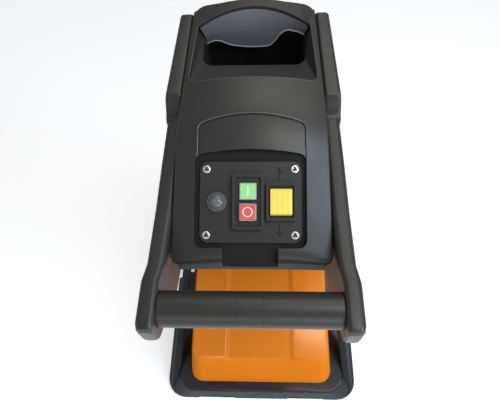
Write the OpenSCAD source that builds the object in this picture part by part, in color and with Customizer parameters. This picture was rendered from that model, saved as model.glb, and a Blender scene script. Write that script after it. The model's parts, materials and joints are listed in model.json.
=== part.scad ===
// Garden shredder with a slow cutting roller, a collection box and a two-wheeled platform.
// Millimetres. X to the right, -Y to the front, Z up, origin on the floor under the middle.

/* [Overall] */
// Half of the overall depth: handle ends in front, wheels behind
depth_half = 240; // [235:1:250]

/* [Head] */
// Half width of the cover at its front lip
cover_front_hw = 80; // [77:0.5:84]
// Half width of the cover at its crest
cover_rear_hw = 70; // [68:0.5:74]
// Distance of the front lip ahead of the middle
lip_y = 173; // [169:1:176]
// How far the lower edge of the front lip lies below the crest
lip_drop = 84; // [81:1:88]
// How far the nose, where the lip turns into the slope, lies below the crest
nose_drop = 67; // [63:1:71]
// Distance of the knee ahead of the middle
knee_y = 42; // [36:1:48]
// How far the knee lies below the crest
knee_drop = 10; // [6:1:14]
// Distance of the crest behind the middle
crest_y = 124; // [121:1:128]
// Height of the crest, the top of the machine
crest_z = 847; // [844:1:852]
// Rise of the cover's middle over its sides
crown = 10; // [6:1:13]
// How far the middle of the crest bows to the rear
crest_bow = 8; // [5:1:11]
// Thickness of the moulded walls
wall = 3.5; // [3:0.1:4]

/* [Hopper] */
// Distance of the pocket's front edge behind the middle
pocket_front = 8; // [6:1:12]
// Distance of the pocket's rear edge behind the middle, at its sides
pocket_rear = 90; // [86:1:92]
// Half width of the pocket in front
pocket_front_hw = 69; // [66:0.5:69.5]
// Half width of the pocket behind
pocket_rear_hw = 64; // [62:0.5:64.5]
// How far the pocket's rear edge bows
pocket_bow = 22; // [16:1:23]
// Half width of the feed shaft
shaft_hw = 58; // [54:1:60]
// Front of the feed shaft
shaft_front = 48; // [45:1:52]
// Rear of the feed shaft
shaft_rear = 110; // [109:1:112]
// Half width of the large arch in the guard, for thick branches
large_arch_r = 21; // [18:0.5:23]
// Half width of the small arch in the guard
small_arch_r = 12; // [10:0.5:14]

/* [Handle] */
// Diameter of the grip bar
bar_d = 34; // [30:0.5:36]
// Distance of the bar behind the arms' front ends
bar_back = 25; // [24:1:27]
// How far the bar lies below the crest
bar_drop = 78; // [76:1:81]
// Half of the bar's length, where the arms hold it
bar_hl = 84.5; // [83.5:0.5:86]
// Thickness of an arm at the bar
arm_t = 17.5; // [16:0.5:19]
// Thickness of a rail beside the hopper
rail_t = 16; // [14:0.5:17]
// Diameter of a handle screw
handle_screw_d = 8; // [6:0.5:9]

/* [Control panel] */
// Width of the panel plate
panel_w = 100; // [98:0.5:102]
// Length of the panel plate along the slope
panel_l = 80; // [78:0.5:81]
// Thickness of the panel plate
panel_t = 3; // [2.5:0.1:3.5]
// Slope of the panel
panel_tilt = 25; // [24:0.5:26]
// Distance of the panel's middle to the right of the middle
panel_x = -1; // [-2:0.5:1]
// Distance of the panel's middle ahead of the middle
panel_y = 116; // [115:0.5:117]
// How far the middle of the panel's upper face lies below the crest
panel_drop = 51; // [50:0.5:52]
// Width of the switch bezel
switch_w = 31; // [30:0.5:32]
// Length of the switch bezel
switch_l = 54.5; // [53:0.5:56]
// Side of a push button
button_s = 17; // [15:0.5:18]
// Travel of a push button
button_travel = 2.5; // [2:0.1:3]
// Width of the rocker bezel
rocker_w = 30; // [28:0.5:31]
// Length of the rocker bezel
rocker_l = 37.5; // [36:0.5:39]
// Outer diameter of the clear boot
boot_d = 19.5; // [18:0.5:21]
// Travel of the reset button
reset_travel = 1.5; // [1:0.1:2]

/* [Tower] */
// Height of the tower's lower edge
tower_z = 318; // [316:1:322]
// Distance of the tower's lower front edge behind the middle
tower_front = 20; // [16:1:22]
// Room between the motor and the outside of the hump behind it
motor_room = 6; // [5:0.5:8]
// Half width of the tower's foot
foot_hw = 162; // [160:1:166]
// Half width of the tower at the motor
motor_hw = 117; // [116:0.5:120]
// Thickness of the tower floor
floor_t = 6; // [5:0.5:8]

/* [Cutter] */
// Distance of the roller behind the middle
roller_y = 84; // [83:0.5:85]
// Height of the roller's axis
roller_z = 440; // [438:1:442]
// Radius over the roller's teeth
roller_r = 46; // [44:0.5:47]
// Length of the roller
roller_l = 96; // [92:1:98]
// Diameter of the roller shaft
roller_shaft_d = 20; // [18:0.5:22]
// Number of teeth round the roller
roller_teeth = 8; // [6:1:10]
// Number of tooth rings along the roller
roller_rings = 6; // [5:1:7]
// Gap between the roller and the counter plate at rest
nip_gap = 2; // [1.8:0.1:3]
// Thickness of the counter plate
plate_t = 10; // [8:0.5:11]
// How far the counter plate can draw back
plate_travel = 4; // [3:0.5:5]
// Diameter of the adjuster screw
adjuster_d = 10; // [8:0.5:12]
// Diameter of the adjuster knob
knob_d = 36; // [32:1:38]

/* [Drive] */
// Module of the fast gear pair
fast_module = 1.25; // [1.2:0.05:1.3]
// Teeth of the motor pinion
motor_pinion_teeth = 12; // [12:1:13]
// Teeth of the fast gear
fast_gear_teeth = 66; // [64:1:66]
// Module of the slow gear pair
slow_module = 1.75; // [1.7:0.05:1.8]
// Teeth of the slow pinion
slow_pinion_teeth = 12; // [12:1:13]
// Teeth of the roller gear
roller_gear_teeth = 60; // [58:1:60]
// Face width of the fast gears
fast_face = 12; // [10:0.5:12]
// Face width of the slow gears
slow_face = 16; // [14:0.5:16]
// Backlash at the pitch circle
backlash = 0.25; // [0.2:0.01:0.35]
// Distance of the motor's axis behind the roller's
motor_back = 77; // [76:0.5:78]
// Height of the motor's axis over the roller's
motor_rise = 66; // [65:0.5:68]
// Outer diameter of the motor
motor_d = 94; // [92:1:96]
// Length of the motor's stator housing
motor_l = 124; // [118:1:128]
// Diameter of the motor shaft
motor_shaft_d = 12; // [11:0.5:12]
// Diameter of the countershaft
countershaft_d = 12; // [11:0.5:13]
// Diameter of the run capacitor
capacitor_d = 36; // [34:1:38]

/* [Box] */
// Half width of the box at its lower edge
box_hw = 163; // [160:1:165]
// Distance of the box's lower front edge ahead of the middle
box_front = 187; // [184:1:190]
// Distance of the box's rear wall behind the middle
box_rear = 100; // [98:1:104]
// Height of the box's front crease
box_crease_z = 262; // [256:1:266]
// Height of the box's top at its rear wall
box_top_z = 300; // [296:1:304]
// How far each side wall leans in over the whole height
box_side_lean = 28; // [26:1:34]
// How far the front wall leans back over the whole height
box_front_lean = 16; // [12:1:20]
// Half width of the channel in the box's top
channel_hw = 60; // [56:1:64]
// Depth of the channel
channel_depth = 4; // [3:0.5:5]
// Wall of the box
box_wall = 3; // [2.5:0.1:3.5]
// Travel of the box out of the machine
box_travel = 350; // [300:10:400]

/* [Platform] */
// Half width of the platform at the floor
base_hw = 226; // [222:1:230]
// Distance of the platform's front edge ahead of the middle
base_front = 217; // [214:1:220]
// Distance of the platform's rear edge behind the middle
base_rear = 205; // [200:1:210]
// Height of the ledge that the box stands on
base_h = 66; // [62:1:70]
// How far the skirt draws in at the sides
skirt_in = 38; // [34:1:40]
// How far the skirt draws in front and behind
skirt_front_in = 11; // [9:1:13]
// Wall of the platform
base_wall = 4; // [3.5:0.1:5]
// Height of a rubber foot
foot_h = 3; // [2:0.5:4]
// Number of vents in each comb
vents = 6; // [4:1:6]

/* [Wheels] */
// Diameter of a wheel
wheel_d = 150; // [144:1:156]
// Width of a wheel
wheel_w = 40; // [36:1:42]
// Diameter of the axle
axle_d = 12; // [10:0.5:14]

/* [Clearances] */
// Gap between moulded pieces that meet
seam = 0.3; // [0.2:0.05:0.4]
// Radial clearance of a running fit
running = 0.1; // [0.05:0.01:0.12]
// Clearance round a button or knob
slip = 0.5; // [0.4:0.05:0.6]

/* [Hidden] */

$fn = 48;
black = "#2b2c2f";
dark = "#222327";
orange = "#e07d2c";
steel = "#b9bcc0";
cast = "#9a9da2";

// Places that follow from the sizes

bar_y = depth_half - bar_back;
bar_z = crest_z - bar_drop;
lip_z = crest_z - lip_drop;
nose_z = crest_z - nose_drop;
knee_z = crest_z - knee_drop;
panel_z = crest_z - panel_drop;
motor_y = roller_y + motor_back;
motor_z = roller_z + motor_rise;
hump_rear = motor_y + motor_d / 2 + motor_room;
sky_z = crest_z + 53;

// Vectors and outlines

function unit(v) = v / norm(v);
function mix(a, b, t) = a + (b - a) * t;

// Arc that rounds the corner p between the points before and after it
function corner(p, before, after, r, steps) =
    let (d1 = unit(before - p), d2 = unit(after - p),
         half = acos(d1 * d2) / 2,
         centre = p + unit(d1 + d2) * r / sin(half),
         s = p + d1 * r / tan(half) - centre,
         e = p + d2 * r / tan(half) - centre,
         a = atan2(s[1], s[0]),
         sweep = (atan2(e[1], e[0]) - a + 540) % 360 - 180)
    [for (k = [0:steps]) centre + r * [cos(a + sweep * k / steps), sin(a + sweep * k / steps)]];

// Closed outline from points [x, y, radius]
function rounded(pts, steps = 5) =
    let (n = len(pts), flat = [for (p = pts) [p[0], p[1]]])
    [for (i = [0:n - 1])
        each pts[i][2] == 0 ? [flat[i]]
            : corner(flat[i], flat[(i + n - 1) % n], flat[(i + 1) % n], pts[i][2], steps)];

// Open line from points [x, y, radius], rounded at its inner points
function rounded_line(pts, steps = 6) =
    let (n = len(pts), flat = [for (p = pts) [p[0], p[1]]])
    [for (i = [0:n - 1])
        each (i == 0 || i == n - 1 || pts[i][2] == 0) ? [flat[i]]
            : corner(flat[i], flat[i - 1], flat[i + 1], pts[i][2], steps)];

// Rounded four-sided outline, with its own half width in front and behind
function slab(front, rear, front_hw, rear_hw, r, steps = 5) =
    rounded([[-front_hw, front, r], [front_hw, front, r], [rear_hw, rear, r], [-rear_hw, rear, r]], steps);
function lifted(outline, z) = [for (p = outline) [p[0], p[1], z]];

// Solid through rings of equally many points, each anticlockwise seen from the last ring
module loft(rings) {
    n = len(rings[0]);
    last = len(rings) - 1;
    sides = [for (k = [0:last - 1], i = [0:n - 1])
        let (j = (i + 1) % n)
        each [[k * n + i, (k + 1) * n + i, (k + 1) * n + j], [k * n + i, (k + 1) * n + j, k * n + j]]];
    caps = [[for (i = [0:n - 1]) i], [for (i = [n - 1:-1:0]) last * n + i]];
    polyhedron([for (r = rings) each r], concat(sides, caps), convexity = 8);
}

// Solid between an upper and a lower sheet, each rows of points from front to rear
module thick_sheet(upper, lower) {
    m = len(upper);
    n = len(upper[0]);
    shift = m * n;
    function quad(a, b, c, d) = [[a, b, c], [a, c, d]];
    top = [for (r = [0:m - 2], c = [0:n - 2])
        each quad(r * n + c, (r + 1) * n + c, (r + 1) * n + c + 1, r * n + c + 1)];
    under = [for (f = top) [f[2] + shift, f[1] + shift, f[0] + shift]];
    front = [for (c = [0:n - 2]) each quad(c, c + 1, shift + c + 1, shift + c)];
    z = (m - 1) * n;
    back = [for (c = [0:n - 2]) each quad(z + c + 1, z + c, shift + z + c, shift + z + c + 1)];
    left = [for (r = [0:m - 2]) each quad((r + 1) * n, r * n, shift + r * n, shift + (r + 1) * n)];
    right = [for (r = [0:m - 2])
        let (a = r * n + n - 1, b = (r + 1) * n + n - 1) each quad(a, b, shift + b, shift + a)];
    polyhedron(concat([for (r = upper) each r], [for (r = lower) each r]),
        concat(top, under, front, back, left, right), convexity = 8);
}

// An outline in Y and Z, drawn along X from x0
module along_x(x0, length) translate([x0, 0, 0]) rotate([90, 0, 90]) linear_extrude(length) children();
module rod_x(x0, x1, d, y, z) translate([x0, y, z]) rotate([0, 90, 0]) cylinder(d = d, h = x1 - x0);
module rod_y(y0, y1, d, x, z) translate([x, y0, z]) rotate([-90, 0, 0]) cylinder(d = d, h = y1 - y0);
module box(x, y, z) translate([x[0], y[0], z[0]]) cube([x[1] - x[0], y[1] - y[0], z[1] - z[0]]);
module both_sides() {
    children();
    mirror([1, 0, 0]) children();
}

// The cover's surface

// Half width of the cover at a distance behind the middle
function cover_hw(y) = mix(cover_front_hw, cover_rear_hw, (y + lip_y) / (lip_y + crest_y));
nose_back = 5;
nose_r = 20;
knee_r = 150;
cover_columns = 16;
cover_corner = 8;
lip_crown = 0.2;
line_steps = 6;
// The cover's middle line, moved in by a depth
function cover_line(depth) = rounded_line([
    [-lip_y + depth, lip_z, 0],
    [-lip_y + nose_back + depth, nose_z - depth * 0.75, max(nose_r - depth, 2)],
    [-knee_y, knee_z - depth * 1.03, knee_r - depth],
    [crest_y, crest_z - depth, 0]], line_steps);
// Half width of a row of the cover, drawn in where its front corners are rounded
function row_hw(i) =
    let (line = cover_line(0), back = max(0, line[i][0] - line[1][0]), c = max(0, 1 - back / cover_corner))
    cover_hw(line[i][0]) - cover_corner * (1 - sqrt(1 - c * c));
// The cover's surface, moved in by a depth and widened at its sides
function cover_rows(depth, widen) =
    let (line = cover_line(depth), last = len(line) - 1)
    [for (i = [0:last])
        let (p = line[i], hw = row_hw(i), rise = crown * min(1, mix(lip_crown, 1, i / line_steps)))
        [for (c = [0:cover_columns])
            let (x = (2 * c / cover_columns - 1) * (hw + widen),
                 t = x / hw,
                 bow = i == last ? crest_bow * t * t : 0)
            [x, p[0] - bow, p[1] - rise * t * t]]];
// Everything below the cover's surface, down to a height
module under_cover(depth, widen, down_to) {
    skin = cover_rows(depth, widen);
    beyond = [for (p = skin[len(skin) - 1]) [p[0], depth_half, p[2]]];
    rows = concat(skin, [beyond]);
    thick_sheet(rows, [for (r = rows) [for (p = r) [p[0], p[1], down_to]]]);
}
cover_base_z = 500;
function cover_middle_z(y) = lookup(y, cover_line(0));
function cover_surface_z(x, y) = cover_middle_z(y) - crown * pow(x / cover_hw(y), 2);

// Pocket

pocket_r = 9;
shaft_r = 12;
hopper_wall = 2.5;
guard_t = 3;
guard_room = guard_t + 1;
hopper_depth = 83;
chute_top_z = crest_z - hopper_depth;
// Outline with a straight front, two rounded corners and a bowed rear edge
function pocket_shape(front, rear, front_hw, rear_hw, bow, r) =
    let (steps = 10,
         four = rounded([[-front_hw, front, r], [front_hw, front, r],
             [rear_hw, rear, 0], [-rear_hw, rear, 0]]),
         last = len(four) - 1)
    concat([for (i = [0:last - 1]) four[i]],
        [for (k = [1:steps - 1]) let (t = 1 - 2 * k / steps) [rear_hw * t, rear + bow * (1 - t * t)]],
        [four[last]]);
// The pocket's edge in the cover, grown all round and moved back behind
function pocket_outline(grow, room) = pocket_shape(pocket_front - grow, pocket_rear + room + 0.3 * grow,
    pocket_front_hw + grow, pocket_rear_hw + grow, pocket_bow + 0.7 * grow, pocket_r);
module pocket_prism(grow, room, z0) translate([0, 0, z0]) linear_extrude(sky_z - z0)
    polygon(pocket_outline(grow, room));

bowl_depth = 29;
bowl_low_z = crest_z - bowl_depth;
bowl_edge = 1.5;
// Rings of the hopper from its shaft up to the pocket's edge
function hopper_rings(grow, end) =
    let (hw = shaft_hw + grow,
         low = pocket_shape(shaft_front - grow, shaft_rear + grow, hw, hw, 0, shaft_r),
         top = pocket_outline(grow, guard_room),
         sink = 0.6 * grow)
    [lifted(low, chute_top_z - end), lifted(low, bowl_low_z - sink),
     [for (p = top) [p[0], p[1], cover_surface_z(p[0], p[1]) - wall - bowl_edge - sink]],
     lifted(top, sky_z + end)];
module feed_hopper() {
    color(black) intersection() {
        difference() {
            loft(hopper_rings(hopper_wall, 0));
            loft(hopper_rings(0, 1));
        }
        under_cover(wall + seam, 0, cover_base_z);
    }
}

guard_reach = 18;
guard_low_z = bowl_low_z - guard_reach;
guard_low_y = 97.4;
guard_low_hw = shaft_hw - 0.8;
guard_top_hw = pocket_rear_hw - 2.5;
guard_columns = 16;
large_arch_x = 46;
large_arch_h = 17.5;
small_arch_x = -47;
small_arch_h = 5;
guard_bow = 5;
guard_bow_hw = 40;
// Lower edge of the guard, bowed in the middle, with an arch on each side
function guard_edge(x) = guard_low_z + guard_bow * pow(min(abs(x), guard_bow_hw) / guard_bow_hw, 2)
    + large_arch_h * exp(-pow((x - large_arch_x) / large_arch_r, 4))
    + small_arch_h * exp(-pow((x - small_arch_x) / small_arch_r, 2));
// The guard is the pocket's back wall, bowed at its upper edge and straight below
module feed_guard() {
    start_z = guard_low_z - 2;
    low_row = [for (c = [0:guard_columns])
        let (t = 2 * c / guard_columns - 1) [guard_low_hw * t, guard_low_y, start_z]];
    top_row = [for (c = [0:guard_columns])
        let (t = 2 * c / guard_columns - 1, x = guard_top_hw * t,
             y = pocket_rear + pocket_bow * (1 - pow(x / pocket_rear_hw, 2)) - 0.6)
        [x, y, cover_surface_z(x, y) - wall - 2 * seam]];
    middle_row = [for (c = [0:guard_columns])
        let (a = low_row[c], b = top_row[c], z = bowl_low_z + 1)
        [a[0], mix(a[1], b[1], (z - a[2]) / (b[2] - a[2])), z]];
    rows = [low_row, middle_row, top_row];
    color(black) difference() {
        thick_sheet(rows, [for (r = rows) [for (p = r) p + [0, guard_t, 0]]]);
        translate([0, crest_y, 0]) rotate([90, 0, 0]) linear_extrude(crest_y)
            polygon(concat([[shaft_hw + 5, guard_low_z - 20], [-shaft_hw - 5, guard_low_z - 20]],
                [for (x = [-shaft_hw - 5:2:shaft_hw + 5]) [x, guard_edge(x)]]));
    }
}

chute_rise = 68;
chute_low_z = roller_z + chute_rise;
chute_wall = 2.5;
chute_low_hw = 54;
chute_low_front = 32;
chute_low_rear = 88;
function chute_ring(z, t, inset) =
    let (front = mix(chute_low_front, shaft_front - hopper_wall, t) + inset,
         rear = mix(chute_low_rear, shaft_rear + hopper_wall, t) - inset,
         hw = mix(chute_low_hw, shaft_hw + hopper_wall, t) - inset)
    lifted(slab(front, rear, hw, hw, 4 - inset, 3), z);
module feed_chute() {
    color(dark) difference() {
        loft([chute_ring(chute_low_z, 0, 0), chute_ring(chute_top_z - seam, 1, 0)]);
        loft([chute_ring(chute_low_z - 1, 0, chute_wall), chute_ring(chute_top_z + 1, 1, chute_wall)]);
    }
}

// Panel

module on_panel(x = 0, y = 0, z = 0) translate([panel_x, -panel_y, panel_z]) rotate([panel_tilt, 0, 0])
    translate([x, y, z]) children();
module plate_2d(w, l, r) polygon(slab(-l / 2, l / 2, w / 2, w / 2, r));
module block(w, l, r, z0, z1) translate([0, 0, z0]) linear_extrude(z1 - z0) plate_2d(w, l, r);

recess_margin = 5;
recess_rise = 5;
panel_r = 8;
// Outline of the recess round the panel, with an arched upper edge
function recess_outline(grow) =
    let (w = panel_w / 2 + recess_margin + grow, l = panel_l / 2 + recess_margin + grow)
    rounded(concat([[-w, -l, panel_r], [w, -l, panel_r], [w, l + 2, panel_r]],
        [for (k = [1:7]) let (t = 1 - k / 4) [w * t, l + 2 + recess_rise * (1 - t * t), 0]],
        [[-w, l + 2, panel_r]]));
module recess(grow, z0, z1) translate([0, 0, z0]) linear_extrude(z1 - z0) polygon(recess_outline(grow));
tray_t = 3;
tray_window_w = 84;
tray_window_l = 58;
screw_dx = 43.5;
screw_dy = 32.5;
screw_head_d = 8;
screw_shank_d = 3.5;
switch_x = -2.5;
rocker_x = 30;
boot_x = -33;
button_dy = 10.2;

visor_hw = 54;
visor_depth = 1.8;
visor_rear = -36;
visor_front = -84;
notch_hw = 27;
module visor_cut() {
    difference() {
        translate([0, 0, cover_base_z]) linear_extrude(sky_z - cover_base_z) polygon(rounded(concat(
            [[-visor_hw, visor_front, 0], [visor_hw, visor_front, 0]],
            [for (k = [0:8])
                let (t = 1 - k / 4) [visor_hw * t, visor_rear - 8 * t * t, k % 8 == 0 ? 8 : 0]])));
        under_cover(visor_depth, 1, cover_base_z - 1);
    }
}

module top_cover() {
    color(black) difference() {
        union() {
            thick_sheet(cover_rows(0, 0), cover_rows(wall, 0));
            intersection() {
                union() {
                    on_panel() recess(3, -panel_t - tray_t, 30);
                    on_panel(0, -panel_l / 2 - recess_margin)
                        block(2 * notch_hw + 6, 60, 4, -panel_t - tray_t + 1, 30);
                }
                under_cover(0.5, 0, cover_base_z);
            }
        }
        pocket_prism(0, 0, cover_base_z);
        visor_cut();
        on_panel() recess(0, -panel_t, 40);
        on_panel() block(tray_window_w, tray_window_l, 4, -panel_t - tray_t - 1, 0);
        on_panel() for (sx = [-1, 1], sy = [-1, 1])
            translate([sx * screw_dx, sy * screw_dy, -panel_t - tray_t - 1])
                cylinder(d = screw_shank_d, h = 10);
        on_panel(0, -panel_l / 2 - recess_margin - 15) block(2 * notch_hw, 42, 4, -panel_t, 30);
    }
}

module control_panel() {
    color(dark) on_panel() difference() {
        block(panel_w, panel_l, panel_r, -panel_t, 0);
        translate([switch_x, 0, 0]) block(switch_w - 4, switch_l - 4, 2, -panel_t - 1, 1);
        translate([rocker_x, 0, 0]) block(rocker_w - 4, rocker_l - 4, 2, -panel_t - 1, 1);
        translate([boot_x, 0, -panel_t - 1]) cylinder(d = reset_stem_d + 2 * slip, h = panel_t + 2);
        for (sx = [-1, 1], sy = [-1, 1]) translate([sx * screw_dx, sy * screw_dy, -panel_t - 1]) {
            cylinder(d = screw_shank_d + 0.4, h = panel_t + 2);
            translate([0, 0, panel_t]) cylinder(d = screw_head_d + 0.6, h = 2);
        }
    }
}

module panel_screws() {
    color(steel) on_panel() for (sx = [-1, 1], sy = [-1, 1]) translate([sx * screw_dx, sy * screw_dy, 0])
        difference() {
            union() {
                translate([0, 0, -1]) cylinder(d = screw_head_d, h = 2.2);
                translate([0, 0, -panel_t - tray_t]) cylinder(d = screw_shank_d - 0.2, h = panel_t + tray_t);
            }
            translate([0, 0, 0.4]) cylinder(d = 1.8, h = 3, $fn = 24);
            for (a = [90:120:330]) rotate(a) translate([1.35, 0, 0.4]) cylinder(d = 2.1, h = 3, $fn = 24);
        }
}

bezel_h = 5;
bezel_wall = 3;
bezel_floor = 2;
module well(w, l, z0) block(w + 2 * slip, l + 2 * slip, 1.5, z0, 20);
module switch_bezel() {
    color(dark) on_panel(switch_x) difference() {
        union() {
            block(switch_w, switch_l, 3, 0, bezel_h);
            block(switch_w - 4 - 2 * slip, switch_l - 4 - 2 * slip, 2, -panel_t, 0.1);
        }
        block(switch_w - 2 * bezel_wall, switch_l - 2 * bezel_wall, 2, bezel_floor, 20);
        for (s = [-1, 1]) translate([0, s * button_dy, 0]) well(button_s, button_s, -panel_t - 1);
    }
}
module switch_body() {
    color(dark) on_panel(switch_x) block(switch_w - 6, switch_l - 6, 2, -panel_t - 32, -panel_t);
}
module button(y, top) {
    on_panel(switch_x, y) {
        block(button_s, button_s, 1.2, -panel_t + button_travel + seam, top - 1);
        block(button_s - 1.6, button_s - 1.6, 1, top - 1.1, top);
    }
}
on_top = 5.2;
off_top = 7.5;
module on_button() color("#6ec36e") button(button_dy, on_top);
module off_button() color("#d7554b") button(-button_dy, off_top);

rocker_bezel_h = 4;
rocker_bezel_floor = 1.5;
rocker_inner_w = 22.5;
rocker_inner_l = 28.5;
rocker_pivot_z = -2;
module rocker_bezel() {
    color(dark) on_panel(rocker_x) difference() {
        union() {
            block(rocker_w, rocker_l, 2.5, 0, rocker_bezel_h);
            block(rocker_w - 4 - 2 * slip, rocker_l - 4 - 2 * slip, 2, -panel_t, 0.1);
        }
        block(rocker_w - 5, rocker_l - 5, 2, rocker_bezel_floor, 20);
        block(rocker_inner_w, rocker_inner_l, 1, -panel_t - 1, 20);
    }
}
module rocker_body() {
    color(dark) on_panel(rocker_x) difference() {
        block(rocker_w - 6, rocker_l - 6, 2, -panel_t - 24, -panel_t);
        translate([-rocker_inner_w / 2, 0, rocker_pivot_z]) rotate([0, 90, 0])
            cylinder(r = rocker_inner_l / 2 - slip + 0.3, h = rocker_inner_w);
    }
}
module direction_rocker() {
    w = rocker_inner_w - 2 * slip;
    r = rocker_inner_l / 2 - slip;
    color("#f2dd5a") on_panel(rocker_x, 0, rocker_pivot_z) intersection() {
        translate([-w / 2, 0, 0]) rotate([0, 90, 0]) cylinder(r = r, h = w);
        along_x(-w / 2, w) polygon([[-r, -3], [r, -3], [r, 7.2], [0, 5.6], [-r, 7.2]]);
    }
}

boot_h = 8;
boot_wall = 1;
reset_stem_d = 8;
module reset_boot() {
    color("#d8dde0", 0.5) on_panel(boot_x) rotate_extrude() difference() {
        polygon(concat([[0, 0], [boot_d / 2, 0], [boot_d / 2, 2.4], [boot_d / 2 - 1.5, 2.4]],
            [for (a = [0:15:90]) [(boot_d / 2 - 2.2) * cos(a), 2.4 + (boot_h - 2.4) * sin(a)]]));
        polygon(concat([[0, -1], [boot_d / 2 - 2.2 - boot_wall, -1]],
            [for (a = [0:15:90])
                [(boot_d / 2 - 2.2 - boot_wall) * cos(a), 2 + (boot_h - boot_wall - 2) * sin(a)]]));
    }
}
module reset_button() {
    color("#c9c5bb") on_panel(boot_x, 0, 0) translate([0, 0, -panel_t + reset_travel + seam])
        cylinder(d = reset_stem_d, h = panel_t + 4 - reset_travel);
}
module overload_breaker() {
    color(dark) on_panel(boot_x) translate([0, 0, -panel_t - 28]) cylinder(d = 17, h = 28);
}

// Rails and arms

rail_step_y = -22;
rail_front_top_y = -1;
rail_drop = 2;
rail_low_z = crest_z - 66;
rail_end_y = 119;
rail_widen = 2.5;
rail_r = 4;
function rail_inner(y) = cover_hw(y) + seam;
function rail_outer(y) = rail_inner(y) + rail_t + rail_widen * (rail_end_y - y) / (rail_end_y - rail_step_y);
function rail_top(y) = cover_middle_z(y) - crown - rail_drop;
function upright(x0, x1, z0, z1, r, y) =
    [for (p = rounded([[x0, z0, r], [x0, z1, r], [x1, z1, r], [x1, z0, r]], 3)) [p[0], y, p[1]]];
arm_step_z = crest_z - 39;
module side_rail() {
    steps = 6;
    front = [for (k = [0:steps])
        let (t = k / steps, y = mix(rail_step_y, rail_front_top_y, t))
        upright(rail_inner(y), rail_outer(y), rail_low_z,
            mix(arm_step_z + 1, rail_top(y), (1 - cos(180 * t)) / 2), rail_r, y)];
    rear = [for (y = [60, rail_end_y - 5, rail_end_y])
        upright(rail_inner(y), rail_outer(y) - (y == rail_end_y ? 3 : 0), rail_low_z,
            rail_top(y) - (y == rail_end_y ? 4 : 0), rail_r, y)];
    color(black) loft(concat(front, rear));
}

arm_end_y = -depth_half;
arm_r = 5;
arm_tuck_rear = 60;
arm_outer_step = 92;
arm_low_z = crest_z - 142;
grip_top = bar_z + bar_d / 2 + 1;
grip_low = bar_z - bar_d / 2 - 8;
// Stations of an arm: [y, inner x, outer x, lower z, upper z]
arm_stations = [
    [arm_end_y, bar_hl + 2.5, bar_hl + arm_t - 3, bar_z - 18, bar_z + 12],
    [arm_end_y + 2.5, bar_hl + 0.8, bar_hl + arm_t - 1, grip_low + 3, bar_z + 16],
    [arm_end_y + 8, bar_hl, bar_hl + arm_t, grip_low, grip_top],
    [-bar_y + bar_d / 2 + 4, bar_hl, bar_hl + arm_t, arm_low_z + 12, grip_top],
    [max(-lip_y - 4, -bar_y + bar_d / 2 + 14), cover_front_hw + 1.5, 98.5, arm_low_z + 4, grip_top],
    [-120, rail_inner(-120), 96.5, arm_low_z, grip_top + 4],
    [-70, rail_inner(-70), 94.5, arm_low_z, mix(grip_top, arm_step_z, 0.6)],
    [rail_step_y - seam, rail_inner(rail_step_y), arm_outer_step, arm_low_z, arm_step_z]];
module handle_arm() {
    color(black) difference() {
        union() {
            loft([for (s = arm_stations) upright(s[1], s[2], s[3], s[4], arm_r, s[0])]);
            loft([for (y = [rail_step_y - 6, 20, arm_tuck_rear])
                upright(rail_inner(y), rail_inner(y) + rail_t - 2,
                    arm_low_z + (y == arm_tuck_rear ? 26 : 0), rail_low_z - seam, arm_r, y)]);
        }
        rod_x(bar_hl - 10, bar_hl + arm_t + 10, handle_screw_d + 2 * running, -bar_y, bar_z);
        rod_x(bar_hl + arm_t - 6, bar_hl + arm_t + 10, 2 * handle_screw_d, -bar_y, bar_z);
    }
}

bar_bore_l = 40;
groove_x = 12.5;
groove = 0.2;
module handle_bar() {
    r = bar_d / 2;
    hl = bar_hl - seam;
    color(black) translate([-hl, -bar_y, bar_z]) rotate([0, 90, 0]) difference() {
        rotate_extrude() polygon([[0, 0], [r, 0], [r, hl - groove_x - groove], [r - groove, hl - groove_x],
            [r, hl - groove_x + groove], [r, hl + groove_x - groove], [r - groove, hl + groove_x],
            [r, hl + groove_x + groove],
            [r, 2 * hl], [0, 2 * hl]]);
        for (z = [-1, 2 * hl - bar_bore_l]) translate([0, 0, z])
            cylinder(d = handle_screw_d + 2 * running, h = bar_bore_l + 1);
    }
}
module handle_screws() {
    head_x = bar_hl + arm_t - 6;
    color(steel) both_sides() difference() {
        union() {
            rod_x(bar_hl - bar_bore_l + 4, head_x + 1, handle_screw_d, -bar_y, bar_z);
            rod_x(head_x, head_x + 4, 1.7 * handle_screw_d, -bar_y, bar_z);
        }
        translate([head_x + 2, -bar_y, bar_z]) rotate([0, 90, 0]) cylinder(d = 6, h = 5, $fn = 6);
    }
}

// Tower

head_z = crest_z - 105;
head_front = -lip_y + 21;
head_rear = 142;
neck_z = crest_z - 143;
neck_rear = 150;
shoulder_z = neck_z - 54;
shoulder_rear = 168;
waist_z = motor_z + 54;
skirt_top_z = tower_z + 48;
foot_rear = hump_rear - 16;
function tower_front_y(z) = mix(tower_front, head_front, (z - tower_z) / (head_z - tower_z));
function head_ring(z, front, rear, r, inset) = lifted(slab(front + inset, rear - inset,
    cover_hw(front) - inset, cover_hw(rear) - inset, r - inset), z);
function tower_ring(z, front, rear, hw, r, inset) =
    lifted(slab(front + inset, rear - inset, hw - inset, hw - inset, r - inset), z);
function tower_rings(inset, end) = [
    tower_ring(tower_z - end, tower_front, foot_rear, foot_hw, 26, inset),
    tower_ring(tower_z + 10, tower_front - 3, foot_rear, foot_hw, 26, inset),
    tower_ring(skirt_top_z, tower_front_y(skirt_top_z), hump_rear, motor_hw + 5, 24, inset),
    tower_ring(waist_z, tower_front_y(waist_z), hump_rear, motor_hw, 22, inset),
    tower_ring(shoulder_z, tower_front_y(shoulder_z), shoulder_rear, 93, 20, inset),
    head_ring(neck_z, tower_front_y(neck_z), neck_rear, 16, inset),
    head_ring(head_z, head_front, head_rear, 14, inset),
    head_ring(crest_z + 20 + end, head_front - 8, crest_y - 2, 14, inset)];

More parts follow.
